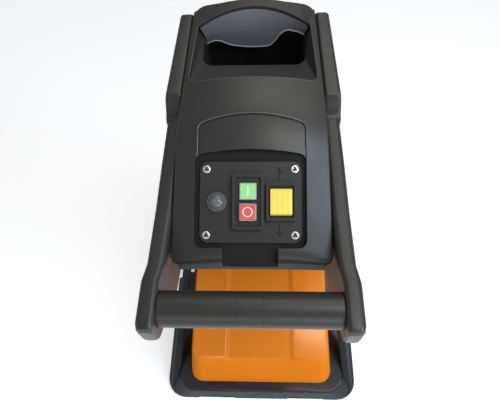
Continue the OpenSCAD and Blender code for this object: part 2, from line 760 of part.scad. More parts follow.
knob_y = tower_front_y(roller_z);
knob_recess_d = knob_d + 12;
// The knob's recess keeps a gap to the bridge of the cutter frame
bridge_rear = roller_y - roller_r - nip_gap - plate_t - plate_travel - 1;
bridge_front = bridge_rear - 14;
knob_gap = 5;
knob_floor_y = min(knob_y + 24, bridge_front - wall - knob_gap);
vent_rows = 6;
inlet_z = mix(shoulder_z, neck_z, 0.5);
inlet_w = 58;
inlet_h = 42;
inlet_tilt = -atan((shoulder_rear - neck_rear) / (neck_z - shoulder_z));
inlet_y = mix(shoulder_rear, neck_rear, 0.5);
module at_inlet() translate([0, inlet_y, inlet_z]) rotate([-90 - inlet_tilt, 0, 0]) children();

boss_in = wall + 4;
housing_head_d = 6;
housing_head_h = 2.4;
boss_hl = 26;
boss_d = 12;
// Rear wall of the tower, to half a millimetre inside it
function tower_rear_y(z) = floor(2 * lookup(z, [[tower_z + 10, foot_rear], [skirt_top_z, hump_rear],
    [waist_z, hump_rear], [shoulder_z, shoulder_rear], [neck_z, neck_rear], [head_z, head_rear]])) / 2;
screw_spots = concat(
    [for (z = [shoulder_z - 30, neck_z + 6, tower_z + 27]) [tower_front_y(z) + boss_in, z]],
    [for (z = [shoulder_z - 50, tower_z + 32, neck_z + 26]) [tower_rear_y(z) - boss_in, z]]);
module housing_shell() {
    difference() {
        union() {
            intersection() {
                difference() {
                    loft(tower_rings(0, 0));
                    loft(tower_rings(wall, 2));
                }
                union() {
                    under_cover(wall + seam, 30, tower_z);
                    box([-foot_hw, foot_hw], [-depth_half, depth_half], [tower_z, head_z]);
                }
            }
            intersection() {
                rod_y(knob_y - 40, knob_floor_y + wall, knob_recess_d + 2 * wall, 0, roller_z);
                loft(tower_rings(0, 0));
            }
            for (p = screw_spots) intersection() {
                rod_x(-boss_hl, boss_hl, boss_d, p[0], p[1]);
                loft(tower_rings(0.5, 0));
            }
        }
        rod_y(knob_y - 60, knob_floor_y, knob_recess_d, 0, roller_z);
        rod_y(knob_y - 60, knob_floor_y + 20, adjuster_d + 4 * slip, 0, roller_z);
        for (p = screw_spots) rod_x(-boss_hl - 1, boss_hl + 1, screw_shank_d + 0.5, p[0], p[1]);
        at_inlet() block(inlet_w - 8, inlet_h - 8, 4, -20, 20);
        for (k = [0:vent_rows - 1], s = [-1, 1])
            box(s > 0 ? [18, 82] : [-82, -18], [hump_rear - 20, hump_rear + 5], [400 + 16 * k, 407 + 16 * k]);
        pocket_prism(hopper_wall + seam, guard_room, chute_top_z);
        on_panel() recess(3 + seam, -panel_t - tray_t - seam, 60);
    }
}
module half_space(s) box(s > 0 ? [seam / 2, 400] : [-400, -seam / 2], [-400, 400], [-10, sky_z]);
module housing_left() color(black) intersection() {
    housing_shell();
    half_space(-1);
}
module housing_right() color(black) intersection() {
    housing_shell();
    half_space(1);
}
module housing_screws() {
    color(steel) for (p = screw_spots) difference() {
        union() {
            rod_x(-boss_hl + 2, boss_hl, screw_shank_d, p[0], p[1]);
            rod_x(boss_hl, boss_hl + housing_head_h, housing_head_d, p[0], p[1]);
        }
        translate([boss_hl + 1, p[0], p[1]]) rotate([0, 90, 0]) cylinder(d = 3, h = 3, $fn = 6);
    }
}

spout_l = 5;
mouth_hw = 50;
mouth_front = 34;
mouth_rear = 92;
module tower_floor() {
    low = tower_z - floor_t;
    color(dark) difference() {
        union() {
            translate([0, 0, low]) linear_extrude(floor_t - seam)
                polygon(slab(tower_front, foot_rear, foot_hw, foot_hw, 26));
            box([-mouth_hw - 3, mouth_hw + 3], [mouth_front - 3, mouth_rear + 3], [low - spout_l, low + 1]);
        }
        box([-mouth_hw, mouth_hw], [mouth_front, mouth_rear], [low - spout_l - 1, tower_z + 1]);
    }
}

module power_inlet() {
    color(dark) at_inlet() difference() {
        union() {
            block(inlet_w, inlet_h, 6, seam, 4);
            block(inlet_w - 9, inlet_h - 9, 4, -18, 1);
        }
        difference() {
            block(inlet_w - 14, inlet_h - 14, 3, -14, 5);
            for (x = [-9.5, 0, 9.5]) translate([x, x == 0 ? 6 : -2, -15]) cylinder(d = 5, h = 15);
        }
    }
}

// Cutter

frame_in = roller_l / 2 + 4;
frame_t = 10;
frame_out = frame_in + frame_t;
frame_rear = roller_y + 28;
frame_top = chute_low_z;
bearing_d = 42;
plate_low_z = roller_z - 34;
plate_high_z = roller_z + 36;
plate_back = roller_y - roller_r - nip_gap - plate_t;

module cutter_frame() {
    color(cast) difference() {
        union() {
            both_sides() along_x(frame_in, frame_t) polygon([
                [tower_front + 10, tower_z], [frame_rear, tower_z], [frame_rear, frame_top - seam],
                [bridge_front, frame_top - seam], [bridge_front, plate_low_z - 20]]);
            box([-frame_in - 1, frame_in + 1], [bridge_front, bridge_rear],
                [plate_low_z - 10, plate_high_z + 10]);
            both_sides() box([frame_in - 6, frame_in + 1], [bridge_rear - 1, roller_y - roller_r],
                [plate_low_z - 6, plate_low_z - seam]);
        }
        rod_x(-frame_out - 1, frame_out + 1, bearing_d, roller_y, roller_z);
        rod_y(bridge_front - 1, bridge_rear + 1, adjuster_d + 2 * running, 0, roller_z);
    }
}

bearing_in = roller_shaft_d;
module roller_bearings() {
    color(steel) both_sides() difference() {
        rod_x(frame_in, frame_out, bearing_d - 2 * running, roller_y, roller_z);
        rod_x(frame_in - 1, frame_out + 1, bearing_in + 2 * running, roller_y, roller_z);
        for (x = [frame_in - 1, frame_out - 1])
            translate([x, roller_y, roller_z]) rotate([0, 90, 0]) difference() {
                cylinder(d = bearing_d - 10, h = 2);
                translate([0, 0, -1]) cylinder(d = bearing_in + 10, h = 4);
            }
    }
}

tooth_root_r = roller_r - 10;
groove_r = roller_r - 11;
hub_r = 30;
ring_gap = 3;
// Saw-shaped teeth: a radial cutting face and a long back
function tooth_ring(n, turn) = [for (k = [0:n - 1])
    let (a = 360 * k / n + turn, step = 360 / n)
    each [tooth_root_r * [cos(a), sin(a)], roller_r * [cos(a + 0.02 * step), sin(a + 0.02 * step)],
        (roller_r - 1.5) * [cos(a + 0.22 * step), sin(a + 0.22 * step)],
        tooth_root_r * [cos(a + 0.7 * step), sin(a + 0.7 * step)]]];
module cutting_roller() {
    pitch = (roller_l + ring_gap) / roller_rings;
    color(steel) translate([0, roller_y, roller_z]) difference() {
        union() {
            for (k = [0:roller_rings - 1])
                along_x(-roller_l / 2 + k * pitch, pitch - ring_gap)
                    polygon(tooth_ring(roller_teeth, 360 / roller_teeth / 4 * (k % 2)));
            rod_x(-roller_l / 2, roller_l / 2, 2 * hub_r, 0, 0);
        }
        rod_x(-roller_l, roller_l, roller_shaft_d, 0, 0);
    }
}
module roller_shaft() color(steel) rod_x(shaft_left, frame_out + 2, roller_shaft_d, roller_y, roller_z);

module counter_plate() {
    hw = frame_in - 1;
    teeth = 8;
    color("#c4c7cb") difference() {
        box([-hw, hw], [plate_back, plate_back + plate_t], [plate_low_z, plate_high_z]);
        for (k = [0:teeth - 1]) let (x = mix(-hw, hw, (k + 0.5) / teeth))
            box([x - 1.5, x + 1.5], [plate_back + plate_t - 2, plate_back + plate_t + 1],
                [roller_z - 16, plate_high_z + 1]);
        rod_y(plate_back - 1, plate_back + 4 + plate_travel, adjuster_d + 4 * running, 0, roller_z);
    }
}
knob_h = 22;
knob_front = knob_floor_y - knob_h;
module adjuster_screw() color(steel) rod_y(knob_floor_y - 16, plate_back + 3, adjuster_d, 0, roller_z);
module adjuster_knob() {
    color(dark) translate([0, knob_front, roller_z]) rotate([-90, 0, 0]) difference() {
        union() {
            cylinder(d = knob_d - 6, h = knob_floor_y - knob_front - slip);
            for (a = [0:60:300]) rotate(a) translate([knob_d / 2 - 5, 0, 0])
                cylinder(d = 10, h = knob_floor_y - knob_front - slip);
        }
        translate([0, 0, knob_floor_y - 16 - knob_front]) cylinder(d = adjuster_d, h = 20);
    }
}

// Drive

pressure = 25;
slow_x0 = frame_out + 6;
shaft_left = -slow_x0 - slow_face - 4;
fast_x0 = slow_x0 + slow_face + 4;
slow_centre = slow_module * (slow_pinion_teeth + roller_gear_teeth) / 2;
fast_centre = fast_module * (motor_pinion_teeth + fast_gear_teeth) / 2;
to_motor = [motor_y - roller_y, motor_z - roller_z];
span = norm(to_motor);
// The countershaft lies where both centre distances meet, on the rear side
counter_angle = atan2(to_motor[1], to_motor[0])
    - acos((slow_centre ^ 2 + span ^ 2 - fast_centre ^ 2) / (2 * slow_centre * span));
counter_at = [roller_y, roller_z] + slow_centre * [cos(counter_angle), sin(counter_angle)];
fast_angle = atan2(motor_z - counter_at[1], motor_y - counter_at[0]);

function involute(a) = tan(a) - a * PI / 180;
// Gear outline with its first tooth along +X
function gear_outline(teeth, m) =
    let (pitch_r = teeth * m / 2, base_r = pitch_r * cos(pressure),
         tip_r = pitch_r + 0.95 * m, root_r = pitch_r - 1.25 * m, foot_r = max(base_r, root_r + 0.2 * m),
         half = 90 / teeth - backlash / 2 / pitch_r * 180 / PI / 2)
    [for (k = [0:teeth - 1], s = [-1, 1])
        each [for (i = [0:3])
            let (j = s < 0 ? i : 3 - i,
                 r = [root_r, foot_r, pitch_r, tip_r][j],
                 at = max(r, base_r),
                 w = half + (involute(pressure) - involute(acos(base_r / at))) * 180 / PI,
                 a = 360 * k / teeth + s * w)
            r * [cos(a), sin(a)]]];
module gear(teeth, m, x0, face, bore, turn, at) {
    color(steel) translate([0, at[0], at[1]]) difference() {
        along_x(x0, face) rotate(turn) polygon(gear_outline(teeth, m));
        rod_x(x0 - 1, x0 + face + 1, bore, 0, 0);
    }
}
module roller_gear() gear(roller_gear_teeth, slow_module, -slow_x0 - slow_face, slow_face, roller_shaft_d,
    counter_angle, [roller_y, roller_z]);
module slow_pinion() gear(slow_pinion_teeth, slow_module, -slow_x0 - slow_face, slow_face, countershaft_d,
    counter_angle + 180 + 180 / slow_pinion_teeth, counter_at);
module fast_gear() gear(fast_gear_teeth, fast_module, -fast_x0 - fast_face, fast_face, countershaft_d,
    fast_angle, counter_at);
case_wall = 4;
case_in = -frame_out - seam;
case_floor = case_in - case_wall;
case_end = -fast_x0 - fast_face - 3;
cover_end = case_end - case_wall;
module countershaft() color(steel)
    rod_x(cover_end + 1, case_in - 1, countershaft_d, counter_at[0], counter_at[1]);

case_roller_r = slow_module * (roller_gear_teeth / 2 + 1) + 3;
case_counter_r = fast_module * (fast_gear_teeth / 2 + 1) + 3;
case_motor_r = motor_d / 2 - 5;
module case_2d(grow) {
    hull() {
        translate([roller_y, roller_z]) circle(r = case_roller_r + grow, $fn = 40);
        translate([motor_y, motor_z]) circle(r = case_motor_r + grow, $fn = 40);
    }
    translate(counter_at) circle(r = case_counter_r + grow, $fn = 40);
}
module gear_case() {
    color(cast) difference() {
        along_x(case_end, case_in - case_end) case_2d(case_wall);
        along_x(case_end - 1, case_floor - case_end + 1) case_2d(0);
        rod_x(case_floor - 1, case_in + 1, roller_shaft_d + 4 * slip, roller_y, roller_z);
        rod_x(case_floor - 1, case_in + 1, countershaft_d + 2 * running, counter_at[0], counter_at[1]);
        rod_x(case_floor - 1, case_in + 1, motor_shaft_d + 2 * running, motor_y, motor_z);
    }
}
module gear_cover() {
    color(cast) difference() {
        along_x(cover_end, case_wall - seam) case_2d(case_wall);
        rod_x(cover_end - 1, case_end + 1, countershaft_d + 2 * running, counter_at[0], counter_at[1]);
    }
}

stator_x0 = case_in + seam;
stator_x1 = stator_x0 + motor_l;
bell_l = 12;
rotor_d = 52;
fan_t = 10;
module motor_stator() {
    fins = 24;
    color(cast) translate([0, motor_y, motor_z]) difference() {
        union() {
            rod_x(stator_x0, stator_x1, motor_d - 8, 0, 0);
            rod_x(stator_x0, stator_x0 + 6, motor_d, 0, 0);
            for (k = [0:fins - 1]) rotate([360 * k / fins, 0, 0])
                box([stator_x0, stator_x1 - 4], [-1.2, 1.2], [motor_d / 2 - 6, motor_d / 2]);
        }
        rod_x(stator_x0 - 1, stator_x1 + 1, rotor_d + 4 * slip, 0, 0);
    }
}
module motor_end_bell() {
    color(cast) translate([0, motor_y, motor_z]) difference() {
        rod_x(stator_x1 + seam, stator_x1 + bell_l, motor_d - 8, 0, 0);
        rod_x(stator_x1 - 1, stator_x1 + bell_l + 1, motor_shaft_d + 2 * running, 0, 0);
        rod_x(stator_x1 - 1, stator_x1 + bell_l - 5, rotor_d, 0, 0);
    }
}
module motor_shaft() {
    along = [0, motor_y, motor_z];
    color(steel) union() {
        rod_x(-fast_x0, stator_x1 + bell_l + fan_t + 4, motor_shaft_d, motor_y, motor_z);
        translate(along) along_x(-fast_x0 - fast_face, fast_face + 1)
            rotate(fast_angle + 180 + 180 / motor_pinion_teeth)
            polygon(gear_outline(motor_pinion_teeth, fast_module));
    }
}
module rotor_core() {
    color(steel) difference() {
        rod_x(stator_x0 + 12, stator_x1 - 8, rotor_d, motor_y, motor_z);
        rod_x(stator_x0, stator_x1, motor_shaft_d, motor_y, motor_z);
    }
}
module cooling_fan() {
    x0 = stator_x1 + bell_l + 1.5;
    blades = 9;
    color(dark) translate([0, motor_y, motor_z]) difference() {
        union() {
            rod_x(x0, x0 + fan_t, 26, 0, 0);
            rod_x(x0 + fan_t - 2, x0 + fan_t, motor_d - 20, 0, 0);
            for (k = [0:blades - 1]) rotate([360 * k / blades, 0, 0])
                box([x0, x0 + fan_t - 1], [-1, 1], [10, motor_d / 2 - 10]);
        }
        rod_x(x0 - 1, x0 + fan_t + 1, motor_shaft_d, 0, 0);
    }
}
capacitor_angle = -78;
module run_capacitor() {
    reach = motor_d / 2 + capacitor_d / 2 + seam;
    color("#c8c8c4") rod_x(-30, 50, capacitor_d, motor_y + reach * cos(capacitor_angle),
        motor_z + reach * sin(capacitor_angle));
}

// Collection box

box_low_z = base_h + 0.4;
box_r = 28;
shoulder_r = 6;
// Height of the box's top at a distance behind the middle
function box_top(y) = mix(box_crease_z, box_top_z,
    (y + box_front - box_front_lean) / (box_front - box_front_lean + box_rear));
function box_ring(t, inset, in) =
    let (front = -box_front + box_front_lean * t + inset, rear = box_rear - 3 * t - inset,
         hw = box_hw - box_side_lean * t - inset, r = max(box_r - 8 * t - inset / 2, 8))
    [for (p = slab(front, rear, hw, hw, r, 6)) [p[0], p[1], mix(box_low_z, box_top(p[1]) - in, t)]];
shoulder_steps = 4;
shoulder_t = 0.97;
function box_rings(wall_in) = concat([box_ring(wall_in > 0 ? 0.02 : 0, wall_in, wall_in)],
    [for (k = [0:shoulder_steps])
        let (a = 90 * k / shoulder_steps)
        box_ring(shoulder_t + (1 - shoulder_t) * sin(a), wall_in + shoulder_r * (1 - cos(a)) * 0.8,
            wall_in)]);
box_mouth_hw = 96;
box_mouth_front = 22;
channel_side = 16;
channel_run_out = 3;
// Trapezium groove, open upwards
module channel_2d(sink, widen) {
    hw = channel_hw + widen;
    translate([0, -sink]) polygon([[-hw - channel_side, channel_depth], [-hw, -channel_depth],
        [hw, -channel_depth], [hw + channel_side, channel_depth]]);
}
top_slope = atan((box_top_z - box_crease_z) / (box_front - box_front_lean + box_rear));
front_slope = atan(box_front_lean / (box_crease_z - box_low_z));
// Groove along the box's top, carried over the crease until it runs out in the front wall
module channel(sink, widen) translate([0, -box_front + box_front_lean, box_crease_z]) {
    top_l = box_front + box_mouth_front;
    front_l = 100;
    rotate([top_slope + 90, 0, 0]) translate([0, 0, -top_l]) linear_extrude(top_l + 6)
        channel_2d(sink, widen);
    rotate([180 - front_slope - channel_run_out, 0, 0]) translate([0, 0, -6]) linear_extrude(front_l + 6)
        channel_2d(sink, widen);
}
// The wall under the channel keeps its thickness
module collection_box() {
    color(orange) difference() {
        loft(box_rings(0));
        difference() {
            loft(box_rings(box_wall));
            channel(box_wall, 3);
        }
        channel(0, 0);
        box([-box_mouth_hw, box_mouth_hw], [box_mouth_front, box_rear - 8], [box_top_z - 40, box_top_z + 20]);
    }
}

// Platform

function platform_ring(z, in_side, in_front, r, inset) =
    let (hw = base_hw - in_side - inset)
    lifted(slab(-base_front + in_front + inset, base_rear - in_front - inset, hw, hw, r - inset), z - inset);
function platform_rings(inset, end) = [
    platform_ring(foot_h - end, 4, 4, 40, inset),
    platform_ring(foot_h + 5, 0, 0, 44, inset),
    platform_ring(foot_h + 13, 0, 0, 44, inset),
    platform_ring(foot_h + 19, 6, 2, 42, inset),
    platform_ring(base_h - 7, skirt_in - 5, skirt_front_in - 3, 40, inset),
    platform_ring(base_h - 2, skirt_in - 2, skirt_front_in - 1, 38, inset),
    platform_ring(base_h, skirt_in + 1, skirt_front_in + 2, 36, inset)];

axle_y = depth_half - wheel_d / 2;
axle_z = wheel_d / 2;
wheel_x1 = base_hw - 2;
wheel_x0 = wheel_x1 - wheel_w;
well_x = wheel_x0 - 6;
well_y = axle_y - wheel_d / 2 - 8;
axle_block = [30, 52, 22];
foot_x = base_hw - 44;
foot_y = -base_front + 45;
rib_t = 3;
module platform_ribs() {
    intersection() {
        loft(platform_rings(base_wall / 2, 0));
        union() {
            for (y = [-100, 0, well_y - base_wall])
                box([-base_hw, base_hw], [y, y + rib_t], [foot_h, base_h]);
            for (s = [-1, 1], x = [60, well_x - base_wall])
                box([s * x - rib_t / 2, s * x + rib_t / 2], [-base_front, base_rear], [foot_h, base_h]);
            for (s = [-1, 1]) translate([s * foot_x, foot_y, foot_h]) cylinder(d = 30, h = base_h - foot_h);
        }
    }
}
vent_pitch = 11.5;
vent_s = 6.5;
vent_x = 60;
front_pocket = [62, 150];
module base_platform() {
    color(dark) difference() {
        union() {
            difference() {
                loft(platform_rings(0, 0));
                loft(platform_rings(base_wall, 2));
            }
            platform_ribs();
            both_sides() box([well_x - axle_block[0], well_x],
                [axle_y - axle_block[1] / 2, axle_y + axle_block[1] / 2],
                [base_h - base_wall, axle_z + axle_block[2]]);
        }
        both_sides() {
            box([well_x, base_hw + 10], [well_y, base_rear + 20], [-1, base_h + 20]);
            for (k = [0:vents - 1]) box([vent_x + k * vent_pitch, vent_x + k * vent_pitch + vent_s],
                [-box_front - 8, -box_front + 4], [base_h - 3, base_h + 1]);
            box(front_pocket, [-base_front - 5, -base_front + 3], [foot_h + 3, foot_h + 24]);
        }
        rod_x(-base_hw, base_hw, axle_d + 2 * running, axle_y, axle_z);
    }
}
module rubber_feet() {
    color("#1b1b1c") both_sides() translate([foot_x, foot_y, 0]) {
        cylinder(d1 = 30, d2 = 34, h = foot_h);
    }
}

// Legs

leg_top_z = tower_z - floor_t;
leg_w = 18;
leg_top_x = foot_hw - 12;
leg_front_foot = [base_hw - 27, -base_front + 74];
leg_front_top = [leg_top_x, tower_front + 34];
leg_rear_foot = [well_x - 13, axle_y - 51];
leg_rear_top = [leg_top_x, hump_rear - 62];
leg_front_l = 44;
leg_rear_l = 30;
leg_rail_z = 26;
function leg_ring(at, l, z) = lifted([for (p = slab(-l / 2, l / 2, leg_w / 2, leg_w / 2, 5, 3)) p + at], z);
module leg_frame() {
    color(dark) difference() {
        union() {
            loft([
                leg_ring(leg_front_foot + 0.17 * (leg_front_foot - leg_front_top), leg_front_l, base_h - 42),
                leg_ring(leg_front_top, leg_front_l, leg_top_z)]);
            loft([
                leg_ring(leg_rear_foot, leg_rear_l, base_h + seam / 2),
                leg_ring(leg_rear_top, leg_rear_l, leg_top_z)]);
            box([leg_front_top[0] - leg_w / 2 + 1, leg_front_top[0] + leg_w / 2 - 1],
                [leg_front_top[1], leg_rear_top[1]], [leg_top_z - leg_rail_z, leg_top_z]);
        }
        translate([0, 0, seam / 2]) loft(platform_rings(-seam / 2, 20));
    }
}

// Wheels

tyre_t = 16;
tread = 30;
module on_axle() translate([0, axle_y, axle_z]) rotate([0, 90, 0]) children();
module wheel_rim() {
    rim_r = wheel_d / 2 - tyre_t;
    spokes = 6;
    color(dark) on_axle() difference() {
        union() {
            translate([0, 0, wheel_x0 + 2]) difference() {
                cylinder(r = rim_r, h = wheel_w - 4);
                translate([0, 0, 12]) cylinder(r = rim_r - 5, h = wheel_w);
                translate([0, 0, -1]) cylinder(r = rim_r - 5, h = 7);
            }
            translate([0, 0, wheel_x0]) cylinder(d = 2.6 * axle_d, h = wheel_w - 3);
        }
        for (k = [0:spokes - 1]) rotate(360 * k / spokes) translate([0.66 * rim_r, 0, wheel_x0 - 1])
            cylinder(r = 0.19 * rim_r, h = wheel_w + 2);
        translate([0, 0, wheel_x0 - 1]) cylinder(d = axle_d + 2 * running, h = wheel_w + 2);
    }
}
module tyre() {
    r = wheel_d / 2;
    half = wheel_w / 2;
    color("#1d1d1e") on_axle() translate([0, 0, wheel_x0 + half]) difference() {
        rotate_extrude($fn = 72) polygon(rounded([
            [r - tyre_t, -half + 2, 0], [r - 4, -half, 5], [r, -half + 8, 6],
            [r, half - 8, 6], [r - 4, half, 5], [r - tyre_t, half - 2, 0]], 4));
        for (k = [0:tread - 1], s = [-1, 1]) rotate(360 * (k + s / 4) / tread)
            translate([r + 1, 0, s * half * 0.55]) cube([6, 3.4, half * 0.7], center = true);
    }
}
module hub_cap() {
    color(steel) on_axle() translate([0, 0, wheel_x1 - 3 + running]) difference() {
        cylinder(d1 = 2.5 * axle_d, d2 = 1.6 * axle_d, h = 4.8);
        translate([0, 0, -1]) cylinder(d = axle_d, h = 3);
    }
}
module wheel_axle() color(steel) rod_x(-wheel_x1 + 2, wheel_x1 - 2, axle_d, axle_y, axle_z);

base_platform();
rubber_feet();
mirror([1, 0, 0]) leg_frame();  // leg_frame_left
leg_frame();  // leg_frame_right
wheel_axle();
mirror([1, 0, 0]) wheel_rim();  // wheel_rim_left
wheel_rim();  // wheel_rim_right
mirror([1, 0, 0]) tyre();  // tyre_left
tyre();  // tyre_right
mirror([1, 0, 0]) hub_cap();  // hub_cap_left
hub_cap();  // hub_cap_right
collection_box();
tower_floor();
housing_left();
housing_right();
housing_screws();
top_cover();
feed_hopper();
feed_guard();
feed_chute();
mirror([1, 0, 0]) side_rail();  // side_rail_left
side_rail();  // side_rail_right
mirror([1, 0, 0]) handle_arm();  // handle_arm_left
handle_arm();  // handle_arm_right
handle_bar();
handle_screws();
control_panel();
panel_screws();
switch_bezel();
switch_body();
on_button();
off_button();
rocker_bezel();
rocker_body();
direction_rocker();
reset_boot();
reset_button();
overload_breaker();
cutter_frame();
cutting_roller();
roller_shaft();
roller_bearings();
roller_gear();
counter_plate();
adjuster_screw();
adjuster_knob();
gear_case();
gear_cover();
countershaft();
fast_gear();
slow_pinion();
motor_stator();
motor_end_bell();
motor_shaft();
rotor_core();
cooling_fan();
run_capacitor();
power_inlet();
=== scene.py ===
# %% [markdown]
# # A garden shredder, dressed for the camera
# The solids come from the CAD model, in metres, already in place. This lesson gives them their looks:
# a camera where the photographer stood, soft light, finishes, and the small pieces that solids leave out.

# %% Load the frame
import json
import math

import bmesh
import bpy
from mathutils import Matrix, Vector


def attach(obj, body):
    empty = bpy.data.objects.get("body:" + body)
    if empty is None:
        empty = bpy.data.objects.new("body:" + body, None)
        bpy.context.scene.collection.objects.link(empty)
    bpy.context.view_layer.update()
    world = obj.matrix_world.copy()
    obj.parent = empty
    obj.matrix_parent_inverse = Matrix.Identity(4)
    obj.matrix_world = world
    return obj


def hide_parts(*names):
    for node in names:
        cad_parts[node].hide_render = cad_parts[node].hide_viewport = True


MM_PER_M = 1000

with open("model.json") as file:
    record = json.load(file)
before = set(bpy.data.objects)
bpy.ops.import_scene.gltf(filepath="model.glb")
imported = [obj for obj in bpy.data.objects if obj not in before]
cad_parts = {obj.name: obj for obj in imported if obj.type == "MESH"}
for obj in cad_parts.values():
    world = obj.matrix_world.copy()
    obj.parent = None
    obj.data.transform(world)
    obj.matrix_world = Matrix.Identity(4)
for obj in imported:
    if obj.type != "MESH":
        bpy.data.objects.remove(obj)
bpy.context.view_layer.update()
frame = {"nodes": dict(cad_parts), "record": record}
nodes = frame["nodes"]
body_of_node = {n: b for b, names in frame["record"]["behaviour"]["bodies"].items() for n in names}
slot_of_node = {s["node"]: s["material_slot"] for s in frame["record"]["subparts"]}

# %% [markdown]
# ## Camera
# The picture was taken from in front and far above, so the object narrows towards the floor. A camera could be
# set by eye, but a fit of known edges to the photo gives its place, its three turns and its lens at once.
# The turns are written as angles, and the axes of the camera are worked out from them.

# %% Camera
EYE = Vector((0.0158, -0.3289, 1.1746))
YAW, PITCH, ROLL = math.radians(4.6), math.radians(60.3), math.radians(3.95)
FOCAL_PIXELS, FRAME_PIXELS = 442.8, 500
SENSOR_WIDTH = 36
NEAREST_SEEN = 0.01

level_right = Vector((math.cos(YAW), math.sin(YAW), 0))
level_ahead = Vector((-math.sin(YAW), math.cos(YAW), 0))
ahead = level_ahead * math.cos(PITCH) + Vector((0, 0, -math.sin(PITCH)))
down = -level_ahead * math.sin(PITCH) + Vector((0, 0, -math.cos(PITCH)))
picture_right = level_right * math.cos(ROLL) + down * math.sin(ROLL)
picture_down = down * math.cos(ROLL) - level_right * math.sin(ROLL)

lens = bpy.data.cameras.new("photographer")
lens.sensor_width = SENSOR_WIDTH
lens.lens = SENSOR_WIDTH * FOCAL_PIXELS / FRAME_PIXELS
lens.clip_start = NEAREST_SEEN
camera = bpy.data.objects.new("photographer", lens)
axes = Matrix((picture_right, -picture_down, -ahead)).transposed().to_4x4()
camera.matrix_world = Matrix.Translation(EYE) @ axes
bpy.context.scene.collection.objects.link(camera)
bpy.context.scene.camera = camera
print("lens", round(lens.lens, 1), "mm")

# %% [markdown]
# ## Light
# Black plastic shows its shape through soft reflections, so large lamps matter more than bright ones. The photo
# has a warm sheen from above and behind, and a cool one on every face that looks to the right, as from a window.
# A single sky picture could give both, but a few lamps say plainly where each sheen comes from.

# %% World and lamps
SKY_COLOUR, SKY_STRENGTH = (0.9, 0.94, 1.0, 1), 0.32

scene = bpy.context.scene
scene.view_settings.view_transform = "Standard"
world = bpy.data.worlds.new("studio")
scene.world = world
world.use_nodes = True
backdrop = world.node_tree.nodes["Background"]
backdrop.inputs["Color"].default_value = SKY_COLOUR
backdrop.inputs["Strength"].default_value = SKY_STRENGTH


def lamp(name, place, target, size, power, colour):
    light = bpy.data.lights.new(name, "AREA")
    light.shape = "RECTANGLE"
    light.size, light.size_y = size
    light.energy = power
    light.color = colour
    holder = bpy.data.objects.new(name, light)
    aim = Vector(target) - Vector(place)
    holder.matrix_world = Matrix.Translation(place) @ aim.to_track_quat("-Z", "Y").to_matrix().to_4x4()
    scene.collection.objects.link(holder)


lamps = (  # name, place, what it points at, width and height, watts, colour
    ("over_back", (0.3, 0.9, 2.3), (0, 0.05, 0.8), (1.2, 0.8), 8, (1.0, 0.94, 0.8)),
    ("right_window", (1.5, -0.7, 1.25), (0, -0.1, 0.6), (0.5, 1.2), 12, (0.62, 0.78, 1.0)),
    ("right_high", (0.85, -0.4, 2.0), (0, -0.1, 0.7), (0.6, 1.0), 12, (0.66, 0.8, 1.0)),
    ("front_window", (0.65, -1.45, 1.0), (0, -0.1, 0.5), (0.6, 0.7), 9, (0.7, 0.83, 1.0)),
    ("front_fill", (-0.3, -1.6, 1.1), (0, -0.1, 0.25), (1.4, 0.6), 5, (1.0, 0.94, 0.82)),
    ("left_wall", (-1.7, -0.4, 1.2), (0, 0, 0.5), (0.8, 1.4), 2, (0.9, 0.95, 1.0)),
    ("box_glow", (0.3, -0.15, 2.0), (0.1, -0.1, 0.3), (0.22, 0.3), 2.4, (1.0, 0.93, 0.66)),
)
for row in lamps:
    lamp(*row)
print("lamps", len(lamps))

# %% [markdown]
# ## Floor
# The object stands on white. More light could make the floor white, but it would wash out the object as well.
# So the floor shines a little, and only to the camera, to mirrors and through clear pieces. Its plain colour is
# what lights the object, and it keeps the object's shadow.

# %% Floor
FLOOR_REACH = 6
PAPER_COLOUR, PAPER_ROUGHNESS, PAPER_GLOW = (0.86, 0.86, 0.86, 1), 0.9, 0.45


def seen_directly(tree):
    """A mask that is 1 for rays from the camera, a mirror or a clear piece."""
    path = tree.nodes.new("ShaderNodeLightPath")
    mask = path.outputs["Is Camera Ray"]
    for ray in ("Is Glossy Ray", "Is Transmission Ray"):
        either = tree.nodes.new("ShaderNodeMath")
        either.operation = "MAXIMUM"
        tree.links.new(mask, either.inputs[0])
        tree.links.new(path.outputs[ray], either.inputs[1])
        mask = either.outputs[0]
    return mask


floor_mesh = bpy.data.meshes.new("floor")
ground = bmesh.new()
bmesh.ops.create_grid(ground, x_segments=1, y_segments=1, size=FLOOR_REACH)
ground.to_mesh(floor_mesh)
ground.free()
floor = bpy.data.objects.new("floor", floor_mesh)
scene.collection.objects.link(floor)

paper = bpy.data.materials.new("paper_floor")
paper.use_nodes = True
paper_tree = paper.node_tree
plain = paper_tree.nodes["Principled BSDF"]
plain.inputs["Base Color"].default_value = PAPER_COLOUR
plain.inputs["Roughness"].default_value = PAPER_ROUGHNESS
plain.inputs["Emission Color"].default_value = (1, 1, 1, 1)
glow = paper_tree.nodes.new("ShaderNodeMath")
glow.operation = "MULTIPLY"
glow.inputs[1].default_value = PAPER_GLOW
paper_tree.links.new(seen_directly(paper_tree), glow.inputs[0])
paper_tree.links.new(glow.outputs[0], plain.inputs["Emission Strength"])
floor_mesh.materials.append(paper)
print("floor", 2 * FLOOR_REACH, "m wide")

# %% [markdown]
# ## Shared effects
# Moulded plastic is never one flat colour: the tool leaves a fine grain, the surface is a little cloudy, and
# use adds faint rubbed patches. Each material could hold its own copy of these nodes, but all the plastics share
# them, so they are node groups, built once. Each material places a group with its own values and keeps its
# shader to itself. Small helpers come first, so that a group reads like a short sum.

# %% Helpers for node groups
VALUE, COLOUR, VECTOR = "NodeSocketFloat", "NodeSocketColor", "NodeSocketVector"
NOISE_MIDDLE = 0.5


